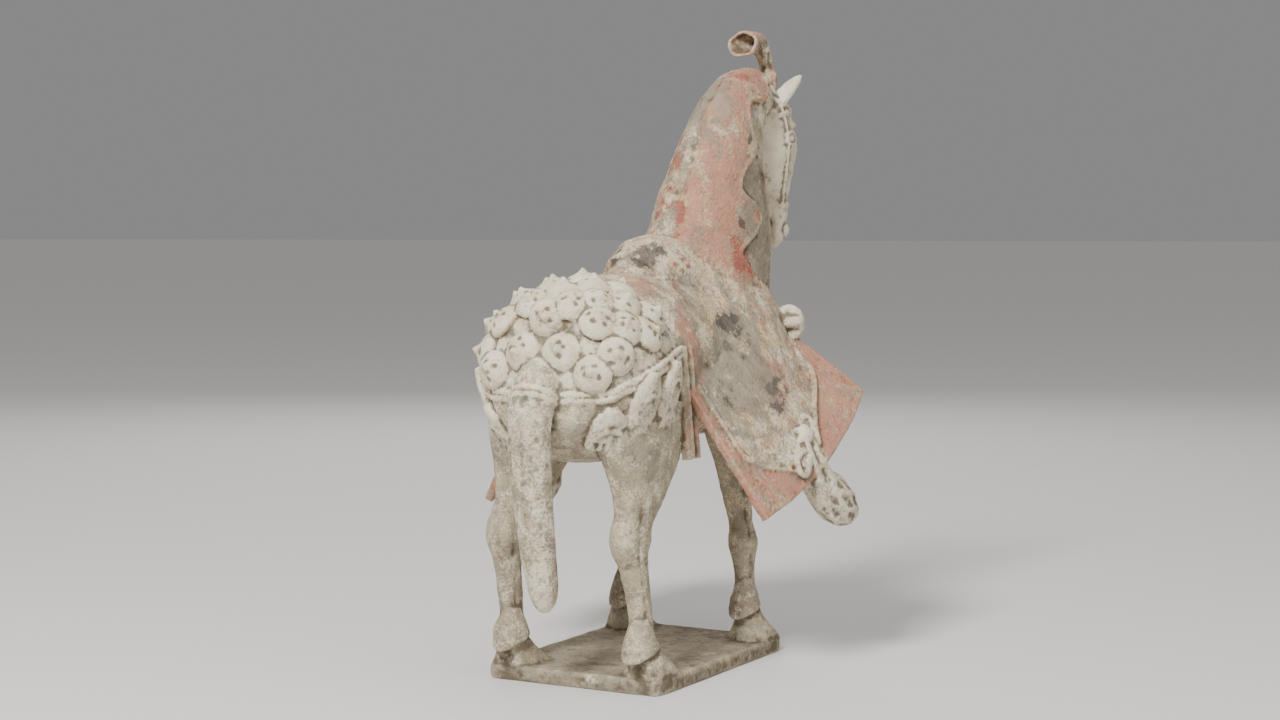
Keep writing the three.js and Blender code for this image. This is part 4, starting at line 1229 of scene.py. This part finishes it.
@dataclass
class ClayBody:
    """The whole figure as one skin of clay.

    Attributes:
        forms: The forms that it is fused from.
        gathers: The knots that its cloth's folds run to.
        voxel: The size of a cell when they are fused, in millimetres.
        most: The most triangles that it may have.
    """

    forms: list[Form]
    gathers: list[Gather]
    voxel: float = 0.8
    most: int = 192000

    @staticmethod
    def mesh(name: str, verts: np.ndarray, faces: list[list[int]]) -> bpy.types.Mesh:
        """A Blender mesh from corners and faces."""
        made = bpy.data.meshes.new(name)
        made.from_pydata(verts.tolist(), [], faces)
        return made

    @staticmethod
    def with_modifier(mesh: bpy.types.Mesh, kind: str, **settings: object) -> bpy.types.Mesh:
        """The mesh that a modifier makes of another."""
        holder = placed("holder", mesh)
        modifier = holder.modifiers.new("work", kind)
        for key, value in settings.items():
            setattr(modifier, key, value)
        graph = bpy.context.evaluated_depsgraph_get()
        made = bpy.data.meshes.new_from_object(holder.evaluated_get(graph))
        bpy.data.objects.remove(holder)
        return made

    @staticmethod
    def rows(source: bpy.types.bpy_prop_collection, name: str) -> np.ndarray:
        """One value of three numbers for each of a mesh's corners, one a row."""
        flat = np.zeros(len(source) * 3, np.float32)
        source.foreach_get(name, flat)
        return flat.reshape(-1, 3).astype(float)

    def corners(self, mesh: bpy.types.Mesh) -> np.ndarray:
        """The corners of a mesh, one a row."""
        return self.rows(mesh.vertices, "co")

    def normals(self, mesh: bpy.types.Mesh) -> np.ndarray:
        """The normals of a mesh's corners, one a row."""
        return self.rows(mesh.vertex_normals, "vector")

    @staticmethod
    def blurred(mesh: bpy.types.Mesh, values: np.ndarray, rounds: int, share: float = 0.5) -> np.ndarray:
        """Values at a mesh's corners, each drawn towards the mean of its neighbours.

        Args:
            mesh: The mesh.
            values: One row for each corner.
            rounds: How often it is done.
            share: How far the values move each time.

        Returns:
            The blurred values.
        """
        flat = np.zeros(len(mesh.edges) * 2, np.int32)
        mesh.edges.foreach_get("vertices", flat)
        a, b = flat.reshape(-1, 2).T
        count = len(mesh.vertices)
        near = np.maximum(np.bincount(a, minlength=count) + np.bincount(b, minlength=count), 1)
        values = values.copy()
        for _ in range(rounds):
            for k in range(values.shape[1]):
                column = values[:, k]
                total = np.bincount(a, column[b], count) + np.bincount(b, column[a], count)
                values[:, k] = column + share * (total / near - column)
        return values

    def joined(self) -> tuple[np.ndarray, list[list[int]], list[int]]:
        """The corners and faces of all the forms together, and the region of each face."""
        verts, faces, owners, count = [], [], [], 0
        for form in self.forms:
            verts.append(form.shell.verts)
            faces += [[corner + count for corner in face] for face in form.shell.faces]
            owners += [form.region.value] * len(form.shell.faces)
            count += len(form.shell.verts)
        return np.vstack(verts), faces, owners

    def fuse(self) -> bpy.types.Mesh:
        """Fuses the forms, softens the steps of the cells and lays hand-made unevenness over them."""
        verts, faces, _ = self.joined()
        raw = self.mesh("raw", verts, faces)
        fused = self.with_modifier(raw, "REMESH", mode="VOXEL", voxel_size=self.voxel)
        places = self.blurred(fused, self.corners(fused), 2, 0.45)
        wave = 0.30 * NOISE.sample(places, 13.0) + 0.22 * NOISE.sample(places, 5.0)
        wave += 0.17 * NOISE.sample(places + 40.0, 2.4)
        above = ease(places[:, 2], 0.4, 2.5)
        places += self.normals(fused) * (wave * above)[:, None]
        places[:, 2] = np.maximum(places[:, 2], 0.0)
        fused.vertices.foreach_set("co", places.ravel())
        fused.update()
        return fused

    def thin(self, fused: bpy.types.Mesh) -> bpy.types.Mesh:
        """Thins the skin out to what a piece may have."""
        triangles = sum(len(face.vertices) - 2 for face in fused.polygons)
        return self.with_modifier(fused, "DECIMATE", ratio=min(1.0, self.most / triangles),
                                  use_collapse_triangulate=True)

    def regions_of(self, places: np.ndarray) -> np.ndarray:
        """The region that each corner of the fused clay came from."""
        verts, faces, owners = self.joined()
        tree = BVHTree.FromPolygons(verts.tolist(), faces)
        return np.array([owners[tree.find_nearest(Vector(place))[2]] for place in places])

    def build(self) -> bpy.types.Object:
        """Makes the piece with its coats as attributes, and puts it in the scene."""
        mesh = self.thin(self.fuse())
        places = self.corners(mesh)
        normals = self.normals(mesh)
        regions = self.regions_of(places)
        wave = sum(gather.wave(places) for gather in self.gathers) * among(regions, CLOTHS)
        wave = self.blurred(mesh, wave[:, None], 1)[:, 0]
        places += normals * (self.gathers[0].depth * wave)[:, None]
        cover = self.blurred(mesh, Coating(places, normals, regions, wave).cover(), 1)
        # How hollow each corner lies: the material puts dirt and painted shade in hollows and a painted
        # highlight on ridges
        fine = np.sum((self.blurred(mesh, places, 3) - places) * normals, axis=1)[:, None]
        broad = np.sum((self.blurred(mesh, places, 20) - places) * normals, axis=1)[:, None]
        fine, broad = (bend - self.blurred(mesh, bend, 50) for bend in (fine, broad))
        # Regions whose hollows get less of the dirt, painted shade and painted ridge highlight
        least_darkened = among(regions, (*CLOTHS, Region.FLAP, Region.MANE))
        less_darkened = among(regions, (Region.SLAB, Region.LEG, Region.TAIL))
        depth = np.where(least_darkened, 0.55, np.where(less_darkened, 0.8, 1.15))
        hollow = np.clip(0.5 + depth * (fine + 0.40 * broad)[:, 0], 0.0, 1.0)
        # Share towards the bottom, where the material darkens hollows a little more
        low = 1 - ease(places[:, 2], 9.0, 70.0)
        self.paint(mesh, "coats_first", cover[:, :3])
        self.paint(mesh, "coats_last", cover[:, 3:])
        # The wear attribute carries the hollow mask for dirt, painted shade and painted ridge highlights
        self.paint(mesh, "wear", np.stack([hollow, low, np.zeros_like(low)], -1))
        mesh.vertices.foreach_set("co", (places * MM).ravel())
        mesh.update()
        for face in mesh.polygons:
            face.use_smooth = True
        mesh.name = PIECE
        return placed(PIECE, mesh)

    @staticmethod
    def paint(mesh: bpy.types.Mesh, name: str, values: np.ndarray) -> None:
        """Keeps three values for each corner under a name."""
        layer = mesh.color_attributes.new(name, "FLOAT_COLOR", "POINT")
        full = np.hstack([np.clip(values, 0.0, 1.5), np.ones((len(values), 1))])
        layer.data.foreach_set("color", full.astype(np.float32).ravel())


# Finishes


def linear(red: int, green: int, blue: int) -> tuple[float, float, float, float]:
    """A shader's colour from one given in 0 to 255."""
    def channel(value: int) -> float:
        """One channel, from display values to light."""
        share = value / 255
        return share / 12.92 if share <= 0.04045 else ((share + 0.055) / 1.055) ** 2.4
    return channel(red), channel(green), channel(blue), 1.0


@dataclass(frozen=True)
class Paint:
    """How one pigment looks and wears.

    Attributes:
        pigment: Which it is.
        colour: Its colour.
        shade: A second colour that it drifts to.
        flake: The size of its flakes, as cells in a metre.
        wear: How far flaking eats into it.
    """

    pigment: Pigment
    colour: tuple[float, float, float, float]
    shade: tuple[float, float, float, float]
    flake: float
    wear: float


PAINTS = (
    Paint(Pigment.WHITE, linear(238, 228, 206), linear(214, 200, 172), 110.0, 1.1),
    Paint(Pigment.OCHRE, linear(222, 200, 156), linear(198, 170, 128), 85.0, 1.2),
    Paint(Pigment.PINK, linear(188, 124, 104), linear(176, 134, 108), 75.0, 1.3),
    Paint(Pigment.RED, linear(158, 82, 70), linear(162, 98, 82), 100.0, 1.3),
    Paint(Pigment.GREY, linear(156, 147, 128), linear(130, 121, 104), 80.0, 1.3),
    Paint(Pigment.BLACK, linear(74, 68, 66), linear(104, 96, 88), 170.0, 1.5),
)


class Graph:
    """A thin hand for building a node tree."""

    def __init__(self, tree: bpy.types.NodeTree) -> None:
        """Keeps the tree and empties it."""
        self.tree = tree
        tree.nodes.clear()

    def add(self, kind: str, **settings: object) -> bpy.types.Node:
        """A node of a kind, with its settings."""
        node = self.tree.nodes.new(kind)
        for key, value in settings.items():
            setattr(node, key, value)
        return node

    def feed(self, socket: bpy.types.NodeSocket, value: object) -> None:
        """Gives an input its value: a number, a colour or another node's output."""
        if isinstance(value, bpy.types.NodeSocket):
            self.tree.links.new(value, socket)
        else:
            socket.default_value = value

    def fill(self, node: bpy.types.Node, **values: object) -> bpy.types.Node:
        """Feeds a node's inputs by name, with an underscore for each space of a name."""
        for name, value in values.items():
            self.feed(node.inputs[name.replace("_", " ")], value)
        return node

    def use(self, tree: bpy.types.NodeTree, **values: object) -> bpy.types.Node:
        """A node group placed in the tree with its inputs fed."""
        return self.fill(self.add("ShaderNodeGroup", node_tree=tree), **values)

    def maths(self, kind: str, first: object, second: object) -> bpy.types.NodeSocket:
        """The result of a sum of two values, each a number or an output."""
        node = self.add("ShaderNodeMath", operation=kind)
        self.feed(node.inputs[0], first)
        self.feed(node.inputs[1], second)
        return node.outputs[0]

    def uneven(self, value: bpy.types.NodeSocket, amount: object) -> bpy.types.NodeSocket:
        """A noise centred on nothing, by an amount that is a number or an output."""
        return self.maths("MULTIPLY", self.maths("SUBTRACT", value, 0.5), amount)

    def noise(self, where: bpy.types.NodeSocket, scale: object, detail: float,
              rough: float = 0.6) -> bpy.types.NodeSocket:
        """The value of a noise, with its scale a number or an output."""
        node = self.add("ShaderNodeTexNoise")
        return self.fill(node, Vector=where, Scale=scale, Detail=detail, Roughness=rough).outputs[0]

    def mix(self, share: object, first: object, second: object) -> bpy.types.NodeSocket:
        """A mix of two colours by a share."""
        node = self.add("ShaderNodeMix", data_type="RGBA")
        for socket, value in ((node.inputs[0], share), (node.inputs[6], first), (node.inputs[7], second)):
            self.feed(socket, value)
        return node.outputs[2]

    def span(self, value: bpy.types.NodeSocket, low: float, high: float,
             to_low: float = 0.0, to_high: float = 1.0) -> bpy.types.NodeSocket:
        """A value carried from one span to another, and kept inside it."""
        node = self.add("ShaderNodeMapRange", clamp=True)
        for socket, given in zip(node.inputs, (value, low, high, to_low, to_high)):
            self.feed(socket, given)
        return node.outputs[0]


def group(name: str, inputs: Sequence[tuple[str, str]],
          outputs: Sequence[tuple[str, str]]) -> tuple[Graph, bpy.types.Node, bpy.types.Node]:
    """An empty node group.

    Args:
        name: Its name.
        inputs: The name and the kind of each input.
        outputs: The name and the kind of each output.

    Returns:
        Its graph, its input node and its output node.
    """
    tree = bpy.data.node_groups.new(name, "ShaderNodeTree")
    for way, sockets in (("INPUT", inputs), ("OUTPUT", outputs)):
        for socket, kind in sockets:
            tree.interface.new_socket(socket, in_out=way, socket_type=f"NodeSocket{kind}")
    graph = Graph(tree)
    return graph, graph.add("NodeGroupInput"), graph.add("NodeGroupOutput")


def bare_clay_group() -> bpy.types.NodeTree:
    """Bare fired clay: mottled, speckled and pitted."""
    graph, given, result = group("bare_fired_clay", [("Place", "Vector"), ("Clay", "Color"),
                                                      ("Scorch", "Color")],
                                 [("Color", "Color"), ("Height", "Float")])
    place = given.outputs["Place"]
    cloud = graph.noise(place, 38.0, 5.0)
    speck = graph.noise(place, 900.0, 2.0)
    tone = graph.mix(graph.span(cloud, 0.38, 0.66), given.outputs["Clay"], given.outputs["Scorch"])
    dark = graph.mix(graph.span(speck, 0.62, 0.72, 0.0, 0.5), tone, given.outputs["Scorch"])
    pits = graph.span(graph.noise(place, 420.0, 4.0, 0.7), 0.3, 0.7)
    graph.fill(result, Color=dark, Height=pits)
    return graph.tree


def worn_paint_group() -> bpy.types.NodeTree:
    """A coat of pigment that has flaked, thinned and drifted in colour."""
    graph, given, result = group(
        "worn_pigment", [("Place", "Vector"), ("Under", "Color"), ("Paint", "Color"), ("Shade", "Color"),
                         ("Cover", "Float"), ("Flake", "Float"), ("Wear", "Float"), ("Height", "Float")],
        [("Color", "Color"), ("Height", "Float")])
    place = given.outputs["Place"]
    broad = graph.noise(place, given.outputs["Flake"], 7.0, 0.62)
    fine_scale = graph.maths("MULTIPLY", given.outputs["Flake"], 6.5)
    fine = graph.noise(place, fine_scale, 4.0, 0.65)
    patchy = graph.maths("ADD", given.outputs["Cover"], graph.uneven(broad, given.outputs["Wear"]))
    eaten = graph.maths("ADD", patchy, graph.maths("SUBTRACT", fine, 0.5))
    mask = graph.span(eaten, 0.41, 0.62)
    drift = graph.span(graph.noise(place, 70.0, 6.0), 0.35, 0.65)
    tint = graph.mix(drift, given.outputs["Paint"], given.outputs["Shade"])
    opacity = graph.maths("MULTIPLY", mask, 0.88)
    raised = graph.maths("ADD", given.outputs["Height"], graph.maths("MULTIPLY", mask, 0.35))
    graph.fill(result, Color=graph.mix(opacity, given.outputs["Under"], tint), Height=raised)
    return graph.tree


def dirt_shade_and_highlight_group() -> bpy.types.NodeTree:
    """Dirt and painted shade in hollows, more near the bottom; painted highlights on ridges."""
    graph, given, result = group(
        "dirt_shade_and_highlight", [("Place", "Vector"), ("Under", "Color"), ("Dirt", "Color"), ("Rubbed", "Color"),
                        ("Hollow", "Float"), ("Low", "Float")],
        [("Color", "Color"), ("Roughness", "Float")])
    place = given.outputs["Place"]
    ragged = graph.uneven(graph.noise(place, 260.0, 8.0, 0.7), 0.9)
    deep = graph.maths("ADD", given.outputs["Hollow"], ragged)
    creep = graph.maths("MULTIPLY", given.outputs["Low"], 0.06)
    # Hollows darkened, as dirt and as painted shade, a little more near the bottom
    in_hollow = graph.span(graph.maths("ADD", deep, creep), 0.58, 0.90, 0.0, 0.82)
    # Ridges lightened as a painted highlight
    on_ridge = graph.span(deep, 0.36, 0.08, 0.0, 0.3)
    hollows_darkened = graph.mix(in_hollow, given.outputs["Under"], given.outputs["Dirt"])
    sheen = graph.span(graph.noise(place, 120.0, 4.0), 0.35, 0.65, 0.80, 0.96)
    graph.fill(result, Color=graph.mix(on_ridge, hollows_darkened, given.outputs["Rubbed"]), Roughness=sheen)
    return graph.tree


@dataclass(frozen=True)
class PaintedClay:
    """The finish of the whole figure.

    Attributes:
        clay: The bare clay's colour.
        scorch: Where the kiln has darkened it.
        dirt: The dark colour of its hollows, as dirt and as painted shade.
        highlight: The pale colour of the painted highlight on its ridges.
        relief: The depth of the finest relief, in metres.
    """

    clay: tuple[float, float, float, float] = linear(182, 169, 143)
    scorch: tuple[float, float, float, float] = linear(148, 135, 112)
    # Dark colour of the hollows: dirt and painted shade
    dirt: tuple[float, float, float, float] = linear(92, 79, 62)
    # Pale colour of the painted highlight on ridges
    rubbed: tuple[float, float, float, float] = linear(232, 220, 196)
    relief: float = 0.0007

    def material(self) -> bpy.types.Material:
        """Builds the material: clay, six worn coats, then dirt, painted shade and painted highlights."""
        made = bpy.data.materials.new(SLOT)
        made.use_nodes = True
        graph = Graph(made.node_tree)
        place = graph.add("ShaderNodeTexCoord").outputs["Object"]
        masks = {}
        # wear brings the hollow mask for dirt, painted shade and painted ridge highlights
        for name in ("coats_first", "coats_last", "wear"):
            source = graph.add("ShaderNodeAttribute", attribute_name=name)
            parts = graph.add("ShaderNodeSeparateColor")
            graph.feed(parts.inputs[0], source.outputs["Color"])
            masks[name] = parts.outputs
        ground = graph.use(bare_clay_group(), Place=place, Clay=self.clay, Scorch=self.scorch)
        colour, height = ground.outputs["Color"], ground.outputs["Height"]
        tree = worn_paint_group()
        for paint in PAINTS:
            order = paint.pigment.value
            moved = graph.add("ShaderNodeVectorMath", operation="ADD")
            graph.feed(moved.inputs[0], place)
            graph.feed(moved.inputs[1], (0.31 * order, 0.17 * order, 0.23 * order))
            cover = masks["coats_first" if order < 3 else "coats_last"][order % 3]
            layer = graph.use(tree, Place=moved.outputs[0], Under=colour, Paint=paint.colour,
                              Shade=paint.shade, Cover=cover, Flake=paint.flake, Wear=paint.wear,
                              Height=height)
            colour, height = layer.outputs["Color"], layer.outputs["Height"]
        # Dirt and painted shade in the hollows, and painted highlights on the ridges
        dirt = graph.use(dirt_shade_and_highlight_group(), Place=place, Under=colour, Dirt=self.dirt,
                         Rubbed=self.rubbed, Hollow=masks["wear"][0], Low=masks["wear"][1])
        bump = graph.fill(graph.add("ShaderNodeBump"), Strength=0.8, Distance=self.relief, Height=height)
        shader = graph.fill(graph.add("ShaderNodeBsdfPrincipled"), Specular_IOR_Level=0.25,
                            Base_Color=dirt.outputs["Color"], Roughness=dirt.outputs["Roughness"],
                            Normal=bump.outputs["Normal"])
        graph.fill(graph.add("ShaderNodeOutputMaterial"), Surface=shader.outputs[0])
        return made


# The studio


class Softbox(Enum):
    """The lights: place, aim height, width and power."""

    KEY = ((-0.1, 1.5, 1.5), 0.2, 0.5, 62.0)
    FILL = ((-1.7, 0.3, 0.9), 0.2, 1.4, 8.0)
    FRONT = ((0.9, -1.4, 1.2), 0.2, 1.2, 12.0)


@dataclass
class Studio:
    """A plain pale floor, soft lights and the camera.

    Attributes:
        reach: Half the floor's width, in metres.
        floor_colour: The floor's colour.
        sky: The colour of the room's own light.
        sky_strength: Its strength.
        ceiling: The strength of the soft light from straight above.
    """

    reach: float = 60.0
    floor_colour: tuple[float, float, float, float] = linear(214, 212, 208)
    sky: tuple[float, float, float, float] = linear(226, 226, 226)
    sky_strength: float = 0.34
    ceiling: float = 0.6

    def floor(self) -> None:
        """Lays the floor under the slab."""
        r = self.reach
        mesh = bpy.data.meshes.new("floor")
        mesh.from_pydata([(-r, -r, 0), (r, -r, 0), (r, r, 0), (-r, r, 0)], [], [(0, 1, 2, 3)])
        plain = bpy.data.materials.new("floor")
        plain.use_nodes = True
        shader = plain.node_tree.nodes["Principled BSDF"]
        shader.inputs["Base Color"].default_value = self.floor_colour
        shader.inputs["Roughness"].default_value = 0.9
        mesh.materials.append(plain)
        piece = placed("floor", mesh)

    def lights(self) -> None:
        """Sets the room's light and the soft boxes."""
        world = bpy.data.worlds.new("studio")
        world.use_nodes = True
        back = world.node_tree.nodes["Background"]
        back.inputs["Color"].default_value = self.sky
        back.inputs["Strength"].default_value = self.sky_strength
        bpy.context.scene.world = world
        for box in Softbox:
            place, aim, wide, power = box.value
            lamp = bpy.data.lights.new(box.name.lower(), "AREA")
            lamp.energy, lamp.size = power, wide
            holder = placed(box.name.lower(), lamp)
            holder.location = place
            toward = Vector((0, 0, aim)) - Vector(place)
            holder.rotation_euler = toward.to_track_quat("-Z", "Y").to_euler()
        ceiling = bpy.data.lights.new("ceiling", "SUN")
        ceiling.energy, ceiling.angle = self.ceiling, 1.2
        placed("ceiling", ceiling).rotation_euler = (0.2, -0.25, 0.0)

    def camera(self) -> None:
        """Places the camera at the photograph's angle."""
        lens = bpy.data.cameras.new("camera")
        lens.lens, lens.sensor_width = VIEW.lens, VIEW.sensor
        lens.clip_start, lens.clip_end = 0.05, 120.0
        holder = placed("camera", lens)
        holder.location = VIEW.place
        into = Vector(VIEW.axes()[2])
        holder.rotation_euler = into.to_track_quat("-Z", "Y").to_euler()
        bpy.context.scene.camera = holder


def main() -> None:
    """Builds the clay, coats it, and sets up the studio."""
    logging.basicConfig(level=logging.INFO, format="%(message)s")
    torso, saddlery = Torso(), Saddlery()
    forms: list[Form] = []
    for assembly in (Slab(), torso, Legs(), Tail(), Head(), saddlery, Harness(torso.trunk)):
        made = assembly.forms()
        LOG.info("%s: %d forms", type(assembly).__name__, len(made))
        forms += made
    body = ClayBody(forms, saddlery.gathers(), voxel=0.8)
    piece = body.build()
    piece.data.materials.append(PaintedClay().material())
    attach(piece, "root")
    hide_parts(NODE)
    LOG.info("%s: %d triangles", piece.name, len(piece.data.polygons))
    studio = Studio()
    studio.floor()
    studio.lights()
    studio.camera()


if __name__ == "__main__":
    main()
